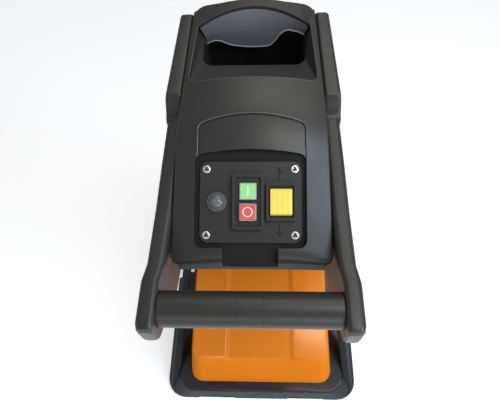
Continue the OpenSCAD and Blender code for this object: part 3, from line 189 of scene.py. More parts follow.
def new_group(name, inputs, outputs):
    group = bpy.data.node_groups.new(name, "ShaderNodeTree")
    for label, kind, value in inputs:
        socket = group.interface.new_socket(label, in_out="INPUT", socket_type=kind)
        socket.default_value = value
    for label, kind in outputs:
        group.interface.new_socket(label, in_out="OUTPUT", socket_type=kind)
    entry, leave = group.nodes.new("NodeGroupInput"), group.nodes.new("NodeGroupOutput")
    return group, entry.outputs, leave.inputs


def feed(tree, value, socket):
    """A number is set on the socket, and anything else is linked to it."""
    if isinstance(value, (int, float)):
        socket.default_value = value
    else:
        tree.links.new(value, socket)


def math_node(tree, operation, a, b):
    made = tree.nodes.new("ShaderNodeMath")
    made.operation = operation
    feed(tree, a, made.inputs[0])
    feed(tree, b, made.inputs[1])
    return made.outputs[0]


def noise(tree, coordinate, scale, detail, roughness=0.55):
    made = tree.nodes.new("ShaderNodeTexNoise")
    made.inputs["Detail"].default_value = detail
    made.inputs["Roughness"].default_value = roughness
    feed(tree, scale, made.inputs["Scale"])
    tree.links.new(coordinate, made.inputs["Vector"])
    return made.outputs["Fac"]


def uneven(tree, level, pattern, swing):
    """A level that goes up and down with a noise."""
    centred = math_node(tree, "SUBTRACT", pattern, NOISE_MIDDLE)
    return math_node(tree, "ADD", level, math_node(tree, "MULTIPLY", centred, swing))


def mix(tree, a, b, factor, blend="MIX"):
    made = tree.nodes.new("ShaderNodeMix")
    made.data_type = "RGBA"
    made.blend_type = blend
    feed(tree, factor, made.inputs["Factor"])
    tree.links.new(a, made.inputs["A"])
    tree.links.new(b, made.inputs["B"])
    return made.outputs["Result"]


def bump(tree, height, strength, distance):
    made = tree.nodes.new("ShaderNodeBump")
    made.inputs["Distance"].default_value = distance
    tree.links.new(strength, made.inputs["Strength"])
    tree.links.new(height, made.inputs["Height"])
    return made.outputs["Normal"]


print("kinds of socket", VALUE, COLOUR, VECTOR)

# %% Moulded skin
CLOUD_SCALE, RUB_SCALE, RUB_BREAKUP = 9.0, 46.0, 0.65
RUB_START, RUB_GAIN = 0.56, 4.0
SKIN_GLOSS_SWING, GRAIN_DISTANCE = 0.22, 0.0004


def make_skin_group():
    """Cloudy tone, rubbed patches and a fine moulding grain."""
    group, given, result = new_group(
        "moulded_skin",
        [("Color", COLOUR, (0.05, 0.05, 0.05, 1)), ("Dusty Color", COLOUR, (0.2, 0.19, 0.17, 1)),
         ("Cloud", VALUE, 0.15), ("Dust", VALUE, 0.1), ("Roughness", VALUE, 0.4),
         ("Grain Scale", VALUE, 900.0), ("Grain Depth", VALUE, 0.1)],
        [("Color", COLOUR), ("Roughness", VALUE), ("Normal", VECTOR)])
    place = group.nodes.new("ShaderNodeTexCoord").outputs["Object"]
    cloud = noise(group, place, CLOUD_SCALE, detail=3)
    rub = noise(group, place, RUB_SCALE, detail=5, roughness=RUB_BREAKUP)
    grain = noise(group, place, given["Grain Scale"], detail=2)
    tone = uneven(group, 1.0, cloud, given["Cloud"])
    tinted = mix(group, given["Color"], tone, 1, "MULTIPLY")
    patch = math_node(group, "MAXIMUM", math_node(group, "SUBTRACT", rub, RUB_START), 0.0)
    amount = math_node(group, "MULTIPLY", math_node(group, "MULTIPLY", patch, RUB_GAIN), given["Dust"])
    group.links.new(mix(group, tinted, given["Dusty Color"], amount), result["Color"])
    group.links.new(uneven(group, given["Roughness"], rub, SKIN_GLOSS_SWING), result["Roughness"])
    group.links.new(bump(group, grain, given["Grain Depth"], GRAIN_DISTANCE), result["Normal"])
    return group


skin_group = make_skin_group()
print("group", skin_group.name)

# %% [markdown]
# ## Worked metal
# A shaft is turned and a casting has a skin, so both show fine marks and a little tarnish. Marks could be cut
# into the mesh, but they are far finer than its faces. A noise that is stretched along two axes draws them.

# %% Worked metal
STAIN_SCALE, MARK_STRETCH = 30.0, (1.0, 0.12, 0.12)
METAL_GLOSS_SWING, MARK_DISTANCE = 0.3, 0.0003


def make_metal_group():
    """Fine turning or casting marks with a little tarnish."""
    group, given, result = new_group(
        "worked_metal",
        [("Color", COLOUR, (0.5, 0.5, 0.5, 1)), ("Tarnish", VALUE, 0.3), ("Roughness", VALUE, 0.35),
         ("Mark Scale", VALUE, 500.0), ("Mark Depth", VALUE, 0.15)],
        [("Color", COLOUR), ("Roughness", VALUE), ("Normal", VECTOR)])
    place = group.nodes.new("ShaderNodeTexCoord").outputs["Object"]
    stretched = group.nodes.new("ShaderNodeMapping")
    stretched.inputs["Scale"].default_value = MARK_STRETCH
    group.links.new(place, stretched.inputs["Vector"])
    stain = noise(group, place, STAIN_SCALE, detail=4)
    mark = noise(group, stretched.outputs["Vector"], given["Mark Scale"], detail=3)
    shade = math_node(group, "SUBTRACT", 1.0, math_node(group, "MULTIPLY", stain, given["Tarnish"]))
    group.links.new(mix(group, given["Color"], shade, 1, "MULTIPLY"), result["Color"])
    group.links.new(uneven(group, given["Roughness"], mark, METAL_GLOSS_SWING), result["Roughness"])
    group.links.new(bump(group, mark, given["Mark Depth"], MARK_DISTANCE), result["Normal"])
    return group


metal_group = make_metal_group()
print("group", metal_group.name)

# %% [markdown]
# ## Ribs and polish
# The rocker is thin, so the ribs behind it show as paler stripes. The tops of the box and of the dark pieces are
# glossier than their sides, because the mould was polished there. Separate materials for tops and sides would
# meet in a hard line, while a coat that follows the way a face looks fades out over the curve.

# %% Ribs and polish
POLISH_FROM, POLISH_FULL = 0.75, 0.97


def make_rib_group():
    """Paler stripes across X, like ribs behind a thin wall."""
    group, given, result = new_group(
        "ribbed_tone",
        [("Color", COLOUR, (0.8, 0.7, 0.1, 1)), ("Pale Color", COLOUR, (0.95, 0.9, 0.5, 1)),
         ("Rib Scale", VALUE, 62.0), ("Amount", VALUE, 0.12)],
        [("Color", COLOUR)])
    place = group.nodes.new("ShaderNodeTexCoord").outputs["Object"]
    wave = group.nodes.new("ShaderNodeTexWave")
    wave.wave_type, wave.bands_direction, wave.wave_profile = "BANDS", "X", "SIN"
    wave.inputs["Distortion"].default_value = 0.0
    group.links.new(place, wave.inputs["Vector"])
    group.links.new(given["Rib Scale"], wave.inputs["Scale"])
    amount = math_node(group, "MULTIPLY", wave.outputs["Fac"], given["Amount"])
    group.links.new(mix(group, given["Color"], given["Pale Color"], amount), result["Color"])
    return group


def make_polish_group():
    """A polished coat on faces that look up, where the mould was polished too."""
    group, given, result = new_group("polished_top", [("Amount", VALUE, 0.5)], [("Coat", VALUE)])
    split = group.nodes.new("ShaderNodeSeparateXYZ")
    group.links.new(group.nodes.new("ShaderNodeTexCoord").outputs["Normal"], split.inputs["Vector"])
    ramp = group.nodes.new("ShaderNodeMapRange")
    ramp.inputs["From Min"].default_value = POLISH_FROM
    ramp.inputs["From Max"].default_value = POLISH_FULL
    group.links.new(split.outputs["Z"], ramp.inputs["Value"])
    coat = math_node(group, "MULTIPLY", ramp.outputs["Result"], given["Amount"])
    group.links.new(coat, result["Coat"])
    return group


rib_group, polish_group = make_rib_group(), make_polish_group()
print("groups", rib_group.name, polish_group.name)

# %% [markdown]
# ## Finishes
# Each material slot of the record gets one finish: black, dark and grey mouldings, an orange box, bright keys,
# rubber, and steel in several states. Writing out the nodes for each would take pages, so two functions make all
# of them, one for plastics and one for metals, and a table gives each finish its values.

# %% Plastics and metals
DUST_GAIN, DUST_LIFT = 1.6, 0.06
COAT_ROUGHNESS = 0.12
SHADER_INPUTS = {"Color": "Base Color", "Roughness": "Roughness", "Normal": "Normal"}


def add_effect(material, group):
    """Places a node group in a material, beside the shader that it will feed."""
    tree = material.node_tree
    effect = tree.nodes.new("ShaderNodeGroup")
    effect.node_tree = group
    return tree, effect, tree.nodes["Principled BSDF"]


def start_material(name, group, values):
    made = bpy.data.materials.new(name)
    made.use_nodes = True
    tree, effect, shader = add_effect(made, group)
    for label, value in values.items():
        effect.inputs[label].default_value = (*value, 1) if isinstance(value, tuple) else value
    for label, target in SHADER_INPUTS.items():
        tree.links.new(effect.outputs[label], shader.inputs[target])
    return made, shader


def plastic(name, colour, roughness, cloud=0.2, dust=0.08, grain=900.0, depth=0.12, coat=0.0, specular=0.5):
    lighter = tuple(min(1.0, c * DUST_GAIN + DUST_LIFT) for c in colour)
    made, shader = start_material(name, skin_group, {
        "Color": colour, "Dusty Color": lighter, "Cloud": cloud, "Dust": dust,
        "Roughness": roughness, "Grain Scale": grain, "Grain Depth": depth})
    shader.inputs["Coat Weight"].default_value = coat
    shader.inputs["Coat Roughness"].default_value = COAT_ROUGHNESS
    shader.inputs["Specular IOR Level"].default_value = specular
    return made


def metal(name, colour, roughness, tarnish=0.3, marks=500.0, depth=0.15, metallic=1.0):
    made, shader = start_material(name, metal_group, {
        "Color": colour, "Tarnish": tarnish, "Roughness": roughness, "Mark Scale": marks, "Mark Depth": depth})
    shader.inputs["Metallic"].default_value = metallic
    return made


plastics = {  # name, colour, roughness, cloud, dust, grain, depth, coat, specular
    "black_plastic": ("black_moulding", (0.026, 0.0245, 0.021), 0.38, 0.25, 0.05, 1100.0, 0.1, 0.0, 0.45),
    "dark_plastic": ("dark_moulding", (0.019, 0.0195, 0.0225), 0.5, 0.25, 0.07, 800.0, 0.2, 0.0, 0.15),
    "grey_plastic": ("guard_moulding", (0.11, 0.11, 0.122), 0.36, 0.2, 0.05, 1000.0, 0.12),
    "panel_plastic": ("panel_moulding", (0.019, 0.0165, 0.0145), 0.5, 0.2, 0.05, 700.0, 0.25, 0.0, 0.45),
    "orange_plastic": ("orange_moulding", (0.85, 0.225, 0.016), 0.5, 0.1, 0.02, 1200.0, 0.04, 0.0, 0.0),
    "green_plastic": ("green_key", (0.3, 0.68, 0.25), 0.3, 0.12, 0.05, 1200.0, 0.05, 0.2),
    "red_plastic": ("red_key", (0.7, 0.095, 0.06), 0.3, 0.12, 0.05, 1200.0, 0.05, 0.2),
    "yellow_plastic": ("yellow_rocker", (0.82, 0.64, 0.09), 0.3, 0.1, 0.04, 1200.0, 0.05, 0.2),
    "pale_plastic": ("pale_moulding", (0.55, 0.53, 0.47), 0.4, 0.15, 0.05),
    "rubber": ("foot_rubber", (0.018, 0.018, 0.018), 0.8, 0.3, 0.2, 500.0, 0.4, 0.0, 0.3),
    "tyre": ("tyre_rubber", (0.02, 0.02, 0.02), 0.78, 0.3, 0.3, 420.0, 0.45, 0.0, 0.3),
}
metals = {  # name, colour, roughness, tarnish, marks, depth, metallic
    "steel": ("turned_steel", (0.56, 0.56, 0.57), 0.32),
    "bright_steel": ("plated_steel", (0.9, 0.86, 0.78), 0.28, 0.1, 900.0, 0.08, 0.85),
    "tool_steel": ("tool_steel", (0.36, 0.36, 0.38), 0.4, 0.4),
    "cast_metal": ("die_cast", (0.5, 0.5, 0.52), 0.5, 0.25, 260.0, 0.4),
}
finishes = {slot: plastic(*row) for slot, row in plastics.items()}
finishes.update({slot: metal(*row) for slot, row in metals.items()})
print("plastics and metals", len(finishes))

# %% [markdown]
# ## Finishes with something more
# The boot over the reset button is clear silicone, the rocker shows its ribs, and the polished coat goes on the
# box and the dark pieces. Small places also get colours of their own: white marks, the arrows' dark print,
# painted shade in the recesses, sockets and vents, and painted highlights on the beads along edges. They could be
# painted on the large materials by position, but a plain material on the right faces is easier to follow.

# %% Clear boot, ribs, coats, marks, painted shade and painted highlights
BOOT_CLEARNESS, SILICONE_IOR = 0.8, 1.41

clear, boot_shader = start_material("clear_boot", skin_group, {
    "Color": (0.42, 0.42, 0.43), "Dusty Color": (0.6, 0.6, 0.6), "Cloud": 0.1, "Dust": 0.1,
    "Roughness": 0.05, "Grain Scale": 500.0, "Grain Depth": 0.0})
boot_shader.inputs["Transmission Weight"].default_value = BOOT_CLEARNESS
boot_shader.inputs["IOR"].default_value = SILICONE_IOR
finishes["clear_silicone"] = clear

rocker_tree, ribs, rocker_shader = add_effect(finishes["yellow_plastic"], rib_group)
rocker_colour = rocker_shader.inputs["Base Color"]
rocker_tree.links.new(rocker_colour.links[0].from_socket, ribs.inputs["Color"])
rocker_tree.links.new(ribs.outputs["Color"], rocker_colour)

for slot, amount in (("orange_plastic", 0.6), ("dark_plastic", 0.7)):
    coat_tree, polish, coat_shader = add_effect(finishes[slot], polish_group)
    polish.inputs["Amount"].default_value = amount
    coat_tree.links.new(polish.outputs["Coat"], coat_shader.inputs["Coat Weight"])

paint = plastic("white_mark", (0.82, 0.82, 0.8), 0.4, 0.1, 0.05)
# Painted shade: a darker colour for faces where shade falls, in the panel's recess, the screw sockets and the
# vents. The arrows use the same dark colour as their print.
painted_shade_and_arrow_print = plastic("recess_painted_shade_and_arrow_print", (0.014, 0.0125, 0.0115), 0.7, 0.3, 0.05, 700.0, 0.25, 0.0, 0.2)
# Painted highlight: a lighter orange for the beads along the box's creases.
painted_box_highlight = plastic("box_crease_painted_highlight", (0.95, 0.5, 0.16), 0.3, 0.1, 0.02, 1200.0, 0.02, 0.5)
# Painted highlight: a lighter black for the bead round the pocket's rim.
painted_rim_highlight = plastic("pocket_rim", (0.052, 0.05, 0.047), 0.42, 0.25, 0.05, 1100.0, 0.1)
# Painted highlight: a lighter grey for the bead along the visor's edge.
painted_lip_highlight = plastic("visor_lip_painted_highlight", (0.085, 0.085, 0.092), 0.3, 0.2, 0.05, 900.0, 0.08)
# Painted highlight: a pale grey for the bead along the guard's rolled lower edge.
rolled_edge_painted_highlight = plastic("rolled_edge_painted_highlight", (0.3, 0.3, 0.32), 0.2, 0.15, 0.05, 900.0, 0.05)
key_rim = plastic("key_rim", (0.3, 0.31, 0.3), 0.3, 0.15, 0.1, 900.0, 0.1)
print("finishes", len(finishes))

# %% [markdown]
# ## The panel's slope
# The control panel leans back from the operator, and everything on it is easier to place in the panel's own
# millimetres than in the frame's metres. Each mark could be turned by hand, but one matrix and its inverse do it
# for all of them.

# %% The panel's slope
PANEL_MIDDLE, PANEL_TILT = (-0.001, -0.116, 0.796), 25
PANEL = Matrix.Translation(PANEL_MIDDLE) @ Matrix.Rotation(math.radians(PANEL_TILT), 4, "X")
FROM_PANEL = PANEL.inverted()
SCREW_X, SCREW_Y = 43.5, 32.5


def on_panel(x, y, z):
    return PANEL @ Matrix.Translation((x / MM_PER_M, y / MM_PER_M, z / MM_PER_M))


def panel_place(point):
    """A point in the panel's own millimetres, with Z out of the panel."""
    return FROM_PANEL @ point * MM_PER_M


def from_screw(place):
    """Distance from the axis of the nearest panel screw."""
    return math.hypot(abs(place.x) - SCREW_X, abs(place.y) - SCREW_Y)


print("panel leans", PANEL_TILT, "degrees")

# %% [markdown]
# ## Edges with a larger radius
# Most edges of a moulding have a radius of a millimetre or less, but the cover's rims, the creases of the box and
# the screw heads are rounder. These edges could be picked by number, which fails as soon as the solid changes.
# Here each is found by where it lies and by the faces that meet at it.

# %% Edges that need a larger radius
STANDING, LOOKING_UP, UPRIGHT = 0.35, 0.6, 0.8
CORNER_X, CORNER_Y = (0.055, 0.067), (0.086, 0.094)
POCKET_SIDE, POCKET_Y = 0.0694, (0.006, 0.114)
OUTSIDE_X, OUTSIDE_Y = 0.0696, 0.1145
CREASE_LENGTH, CREASE_LIFT, CREASE_TURN = 0.02, 0.5, (0.3, 0.7)
DOME_HEIGHT, DOME_REACH = 1.1, 3.5


def within(span, value):
    return span[0] < value < span[1]


def middle_of(edge):
    return (edge.verts[0].co + edge.verts[1].co) / 2


def between_top_and_side(edge):
    """True where a face that looks up meets a face that stands."""
    if len(edge.link_faces) != 2:
        return False
    lift = sorted(face.normal.z for face in edge.link_faces)
    return abs(lift[0]) < STANDING and lift[1] > LOOKING_UP


def pocket_corner(edge):
    """The two upright edges behind, where the pocket's sides meet its bowed rear edge."""
    middle = middle_of(edge)
    way = edge.verts[0].co - edge.verts[1].co
    at_corner = within(CORNER_X, abs(middle.x)) and within(CORNER_Y, middle.y)
    return at_corner and abs(way.z) > UPRIGHT * way.length


def pocket_rim(edge):
    middle = middle_of(edge)
    return abs(middle.x) < POCKET_SIDE and within(POCKET_Y, middle.y) and between_top_and_side(edge)


def outer_rim(edge):
    middle = middle_of(edge)
    return (abs(middle.x) > OUTSIDE_X or middle.y > OUTSIDE_Y) and between_top_and_side(edge)


def box_crease(edge):
    """True on the box's top, where the channel's sides begin and end."""
    if len(edge.link_faces) != 2 or edge.calc_length() < CREASE_LENGTH:
        return False
    lowest = min(face.normal.z for face in edge.link_faces)
    return lowest > CREASE_LIFT and within(CREASE_TURN, edge.calc_face_angle())


def screw_dome(edge):
    place = panel_place(middle_of(edge))
    return place.z > DOME_HEIGHT and from_screw(place) > DOME_REACH


larger_rims = {  # which edges, and their radius in millimetres
    "top_cover": ((pocket_corner, 7), (pocket_rim, 2.4), (outer_rim, 1.2)),
    "collection_box": ((box_crease, 1.5),),
    "panel_screws": ((screw_dome, 0.9),),
}
print("larger radii on", list(larger_rims))

# %% [markdown]
# ## Faces with painted shade and grey key sides
# The recess round the panel, the sockets of the screws and the vents get painted shade, a darker colour where
# shade falls, and the keys have grey sides. Extra pieces could cover these faces, but a second material on the
# faces themselves adds nothing to the mesh. All the places are in millimetres, the platform's in the frame and
# the others in the panel's own axes.

# %% Faces with painted shade and grey key sides
RECESS_SIDE, RECESS_Y = 55.5, (-45.5, 52.5)
RECESS_FLOOR, RECESS_WALL, WALL_LEAN = (-3.5, -2.5), (-3.5, 9), 0.4
SOCKET_Z, SOCKET_REACH = (0.2, 1.15), 2.6
VENT_X, VENT_Y, VENT_Z, VENT_LEAN = (59, 125), (-196, -182), (61, 66.2), 0.5
FRONT_POCKET_X, FRONT_POCKET_Y, FACING_FRONT = (61, 151), (-214.3, -213.7), -0.9
ON_TOP, OFF_TOP, KEY_ROLL = 5.2, 7.5, 0.45


def in_recess(face):
    """The floor and the walls round the panel, but not the cover's skin beyond them."""
    place = panel_place(face.calc_center_median())
    upward = FROM_PANEL.to_3x3() @ face.normal
    inside = abs(place.x) < RECESS_SIDE and within(RECESS_Y, place.y)
    on_wall = abs(upward.z) < WALL_LEAN and within(RECESS_WALL, place.z)
    return inside and (within(RECESS_FLOOR, place.z) or on_wall)


def in_socket(face):
    place = panel_place(face.calc_center_median())
    return within(SOCKET_Z, place.z) and from_screw(place) < SOCKET_REACH


def in_vent(face):
    """The walls of the vents in the platform's deck, and the backs of its two front pockets."""
    x, y, z = face.calc_center_median() * MM_PER_M
    in_comb = within(VENT_X, abs(x)) and within(VENT_Y, y) and within(VENT_Z, z)
    vent = in_comb and abs(face.normal.z) < VENT_LEAN
    at_pocket = within(FRONT_POCKET_X, abs(x)) and within(FRONT_POCKET_Y, y)
    return vent or at_pocket and face.normal.y < FACING_FRONT


def below_key_top(top):
    return lambda face: panel_place(face.calc_center_median()).z < top - KEY_ROLL


# Painted shade on the recess, the screw sockets and the vents; grey sides on the keys.
own_faces = {
    "top_cover": (in_recess, painted_shade_and_arrow_print),
    "panel_screws": (in_socket, painted_shade_and_arrow_print),
    "on_button": (below_key_top(ON_TOP), key_rim),
    "off_button": (below_key_top(OFF_TOP), key_rim),
    "base_platform": (in_vent, painted_shade_and_arrow_print),
}
print("second finish on", list(own_faces))

# %% [markdown]
# ## Dressing the solids
# A CAD solid arrives as loose triangles with knife edges, and real mouldings have small radii that catch the
# light. The solid itself must stay as it is, so each is copied, its doubles merged, its flat triangles joined,
# and its sharp edges rounded. Curved faces are then shaded smooth, while the real creases stay crisp. The two
# housing shells keep a hair's gap in the solids, so the copies close it, or light would show through the seam.

# %% Copies with rounded edges
MERGE_DISTANCE, FLAT_ANGLE = 1e-5, math.radians(0.4)
CREASE_ANGLE = math.radians(35.0)
SEAM_GAP = 0.0003
RIM_SEGMENTS, EDGE_SEGMENTS = 4, 2
FLAT_FACE_WEIGHT = 100


def merged_copy(node):
    shape = bmesh.new()
    shape.from_mesh(nodes[node].data)
    bmesh.ops.remove_doubles(shape, verts=shape.verts, dist=MERGE_DISTANCE)
    bmesh.ops.dissolve_limit(shape, angle_limit=FLAT_ANGLE, verts=shape.verts, edges=shape.edges)
    return shape


def dressed_mesh(node):
    """The node's mesh with its closed seam, its larger radii and its second material, which is painted shade on
    some nodes and grey sides on the keys.
    """
    shape = merged_copy(node)
    if node.startswith("housing_"):
        for vert in shape.verts:
            if abs(vert.co.x) < SEAM_GAP:
                vert.co.x = 0
    for pick, rim in larger_rims.get(node, ()):
        picked = [edge for edge in shape.edges if pick(edge)]
        bmesh.ops.bevel(
            shape, geom=picked, offset=rim / MM_PER_M, segments=RIM_SEGMENTS, profile=0.5,
            affect="EDGES", material=-1, clamp_overlap=True)
    pick, second = own_faces.get(node, (None, None))
    for face in shape.faces:
        face.material_index = int(bool(pick and pick(face)))
    mesh = bpy.data.meshes.new(node + "_skin")
    shape.to_mesh(mesh)
    shape.free()
    mesh.shade_smooth()
    mesh.set_sharp_from_angle(angle=CREASE_ANGLE)
    mesh.materials.append(finishes[slot_of_node[node]])
    if second:
        mesh.materials.append(second)
    return mesh


def smooth_copy(node, radius):
    """A rounded copy that stands for a CAD node, with the radius in millimetres."""
    made = bpy.data.objects.new(node + "_skin", dressed_mesh(node))
    scene.collection.objects.link(made)
    if radius > 0:
        soften = made.modifiers.new("edges", "BEVEL")
        soften.limit_method = "ANGLE"
        soften.angle_limit = CREASE_ANGLE
        soften.width = radius / MM_PER_M
        soften.segments = EDGE_SEGMENTS
        soften.harden_normals = True
        soften.use_clamp_overlap = True
    flat = made.modifiers.new("flat_faces", "WEIGHTED_NORMAL")
    flat.weight = FLAT_FACE_WEIGHT
    flat.keep_sharp = True
    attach(made, body_of_node[node])
    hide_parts(node)


nodes_by_radius = {
    0: ("collection_box",),
    0.2: ("panel_screws", "reset_boot"),
    0.3: ("handle_screws",),
    0.4: ("handle_bar", "tyre_left", "tyre_right", "hub_cap_left", "hub_cap_right"),
    0.5: ("housing_left", "housing_right", "power_inlet"),
    0.6: ("on_button", "off_button", "adjuster_knob", "wheel_rim_left", "wheel_rim_right"),
    0.7: ("top_cover", "feed_hopper", "direction_rocker"),
    0.8: ("base_platform", "leg_frame_left", "leg_frame_right", "tower_floor", "feed_guard",
          "switch_bezel", "rocker_bezel"),
    1.0: ("side_rail_left", "side_rail_right", "handle_arm_left", "handle_arm_right"),
    1.2: ("control_panel",),
}
edge_radius = {node: radius for radius, names in nodes_by_radius.items() for node in names}
for node in nodes:
    if node in edge_radius:
        smooth_copy(node, edge_radius[node])
    else:
        nodes[node].data.materials.clear()
        nodes[node].data.materials.append(finishes[slot_of_node[node]])
print("rounded", len(edge_radius), "kept", len(nodes) - len(edge_radius))

# %% [markdown]
# ## Marks on the controls
# The green key carries a bar, the red key a ring, and plain arrows point along the rocker's two ways. Marks
# like these are printed or stand proud by a fraction of a millimetre. A printed mark could be a pattern in the
# material, but a thin solid has a clean edge and moves with its key. Each is drawn flat and then set in place on
# the panel's slope.

# %% Marks on the keys
MARK_CREASE = math.radians(40)
KEY_X, KEY_Y, MARK_LIFT = -2.5, 10.2, 0.05
BAR_SIZE, BAR_ROUNDING, BAR_SEGMENTS = (1.1, 9.5, 0.3), 0.00045, 4
RING_SECTION, RING_STEPS = ((4.0, -0.1), (4.95, -0.1), (4.95, 0.2), (4.0, 0.2)), 40
TINY = 1e-6


def add_piece(name, shape, material, body):
    bmesh.ops.recalc_face_normals(shape, faces=shape.faces)
    mesh = bpy.data.meshes.new(name)
    shape.to_mesh(mesh)
    shape.free()
    mesh.shade_smooth()
    mesh.set_sharp_from_angle(angle=MARK_CREASE)
    mesh.materials.append(material)
    made = bpy.data.objects.new(name, mesh)
    scene.collection.objects.link(made)
    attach(made, body)
    print("made", name, "of", len(mesh.polygons), "faces")


def thin_bar(shape, width, length, height, place=Matrix()):
    made = bmesh.ops.create_cube(shape, size=1 / MM_PER_M)["verts"]
    bmesh.ops.scale(shape, vec=(width, length, height), verts=made)
    bmesh.ops.transform(shape, matrix=place, verts=made)
    uprights = [
        edge for edge in shape.edges
        if abs(edge.verts[0].co.z - edge.verts[1].co.z) > TINY and edge.verts[0] in made]
    bmesh.ops.bevel(
        shape, geom=uprights, offset=min(width, length) * BAR_ROUNDING, segments=BAR_SEGMENTS,
        profile=0.5, affect="EDGES", material=-1)


bar = bmesh.new()
thin_bar(bar, *BAR_SIZE)
bmesh.ops.transform(bar, matrix=on_panel(KEY_X, KEY_Y, ON_TOP + MARK_LIFT), verts=bar.verts)
add_piece("on_mark", bar, paint, "on_key")

ring = bmesh.new()
section = [ring.verts.new((x / MM_PER_M, 0, z / MM_PER_M)) for x, z in RING_SECTION]
loop = [ring.edges.new((section[i], section[(i + 1) % len(section)])) for i in range(len(section))]
bmesh.ops.spin(
    ring, geom=section + loop, cent=(0, 0, 0), axis=(0, 0, 1), angle=math.tau, steps=RING_STEPS,
    use_merge=True, use_duplicate=False)
bmesh.ops.remove_doubles(ring, verts=ring.verts, dist=TINY)
bmesh.ops.transform(ring, matrix=on_panel(KEY_X, -KEY_Y, OFF_TOP + MARK_LIFT), verts=ring.verts)
add_piece("off_mark", ring, paint, "off_key")

# %% Arrows beside the rocker
ARROW_X, ARROW_Y = 28.5, 27.5
STROKE_WIDTH, STROKE_HEIGHT = 0.8, 0.6
STROKES = ((0, -0.5, 12, 0), (-1.4, 3.6, 6, -28), (1.4, 3.6, 6, 28))  # x, y, length, lean in degrees


def arrow(name, y, turn):
    shape = bmesh.new()
    for across, along, length, lean in STROKES:
        middle = Matrix.Translation((across / MM_PER_M, along / MM_PER_M, 0))
        leaning = Matrix.Rotation(math.radians(lean), 4, "Z")
        thin_bar(shape, STROKE_WIDTH, length, STROKE_HEIGHT, middle @ leaning)
    place = on_panel(ARROW_X, y, 0) @ Matrix.Rotation(turn, 4, "Z")
    bmesh.ops.transform(shape, matrix=place, verts=shape.verts)
    # The arrows take the dark colour of the painted-shade material as their print.
    add_piece(name, shape, painted_shade_and_arrow_print, "frame")


arrow("arrow_up", ARROW_Y, 0)
arrow("arrow_down", -ARROW_Y, math.pi)

# %% [markdown]
# ## Rolled edges with painted highlights
# The lower edge of the guard shines as one bright line, because the moulding is rolled forward there. Fainter
# lines run round the visor and the pocket and along the creases of the box. A bevel would round these edges out
# of the light, so a bead follows each one instead, and each bead has a lighter colour than its piece, a painted
# highlight. Its points are read from the piece itself, and a circle is drawn out from point to point, turned into
# the way of the line at each.

# %% Lines for the beads to follow
FACING_AHEAD, FACING_DOWN, SIDEWAYS = -0.6, -0.3, 0.3
VISOR_SIDE, VISOR_Y, VISOR_MIDDLE = 54.4, (-74, -35), -0.075
POCKET_MIDDLE, POCKET_BEAD_REAR, POCKET_DROP = 0.06, 0.085, Vector((0, 0, 0.0004))


def edge_points(node, pick, order):
    """The ends of the picked edges of a CAD node, put in order along the line."""
    shape = merged_copy(node)
    found = {tuple(vert.co) for edge in shape.edges if pick(edge) for vert in edge.verts}
    shape.free()
    return sorted((Vector(place) for place in found), key=order)


def lower_front(edge):
    ways = [face.normal for face in edge.link_faces]
    in_front = any(way.y < FACING_AHEAD for way in ways)
    return in_front and any(way.z < FACING_DOWN and abs(way.y) < SIDEWAYS for way in ways)


def visor_rim(edge):
    """Where the cover's skin breaks off into the shallow visor."""
    middle = middle_of(edge) * MM_PER_M
    at_visor = abs(middle.x) < VISOR_SIDE and within(VISOR_Y, middle.y)
    return at_visor and between_top_and_side(edge) and edge.is_convex


def pocket_front(edge):
    return pocket_rim(edge) and middle_of(edge).y < POCKET_BEAD_REAR


def round_visor(place):
    return math.atan2(place.x, place.y - VISOR_MIDDLE)


def round_pocket(place):
    return math.atan2(place.x, POCKET_MIDDLE - place.y)


guard_line = edge_points("feed_guard", lower_front, lambda place: place.x)
visor_line = edge_points("top_cover", visor_rim, round_visor)
pocket_line = [place - POCKET_DROP for place in edge_points("top_cover", pocket_front, round_pocket)]
print("points on the guard, visor and pocket", len(guard_line), len(visor_line), len(pocket_line))

# %% Beads on the guard and the cover
BEAD_SIDES = 8
TO_THE_FRONT = Vector((0, -1, 0))


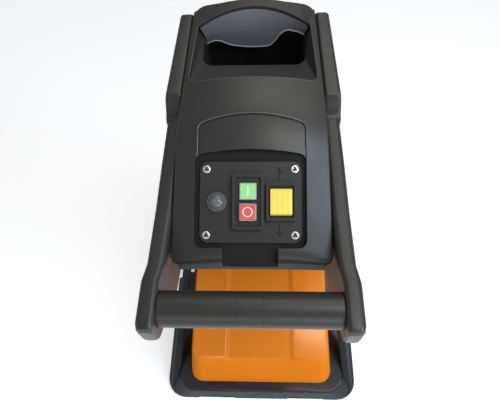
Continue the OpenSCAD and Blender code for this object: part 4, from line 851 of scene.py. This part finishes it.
def ring_place(points, i):
    """Where a circle sits at one point of the line, square to the line's way there."""
    along = (points[min(i + 1, len(points) - 1)] - points[max(i - 1, 0)]).normalized()
    across = along.cross(TO_THE_FRONT).normalized()
    out = across.cross(along)
    return Matrix.Translation(points[i]) @ Matrix((across, out, -along)).transposed().to_4x4()


def bead(name, points, radius, material, slot, body):
    shape = bmesh.new()
    places = [ring_place(points, i) for i in range(len(points))]
    bmesh.ops.create_circle(
        shape, cap_ends=True, segments=BEAD_SIDES, radius=radius / MM_PER_M, matrix=places[0])
    rim = list(shape.edges)
    for here, there in zip(places, places[1:]):
        drawn = bmesh.ops.extrude_edge_only(shape, edges=rim)["geom"]
        ends = [part for part in drawn if isinstance(part, bmesh.types.BMVert)]
        rim = [part for part in drawn if isinstance(part, bmesh.types.BMEdge) and part.is_boundary]
        bmesh.ops.transform(shape, matrix=there @ here.inverted(), verts=ends)
    bmesh.ops.edgeloop_fill(shape, edges=rim)
    add_piece(name, shape, material, body)


beads = (  # name, points, radius in millimetres, finish, slot
    ("guard_edge", guard_line, 0.9, rolled_edge_painted_highlight, "grey_plastic"),
    ("visor_edge", visor_line, 0.6, painted_lip_highlight, "black_plastic"),
    ("pocket_edge", pocket_line, 0.7, painted_rim_highlight, "black_plastic"),
)
for row in beads:
    bead(*row, "frame")

# %% Beads on the box
BOX_TOP, LINE_SLACK, BOX_BEAD_RADIUS = 250, 0.3, 0.5


def box_line(axis, at):
    """Picks a long crease of the box's top that keeps one coordinate, in millimetres."""
    def on_line(end):
        return abs(end[axis] - at) < LINE_SLACK and end.z > BOX_TOP and end.x * at > 0

    def pick(edge):
        return edge.calc_length() > CREASE_LENGTH and all(on_line(v.co * MM_PER_M) for v in edge.verts)

    return pick


# Each box bead takes the lighter orange, a painted highlight along the crease.
for name, axis, at in (("channel_line", 0, -68.0), ("crease_line", 1, -166.2), ("side_line", 0, 130.2)):
    crease_points = edge_points("collection_box", box_line(axis, at), lambda place: place[1 - axis])
    bead(name, crease_points, BOX_BEAD_RADIUS, painted_box_highlight, "orange_plastic", "box")
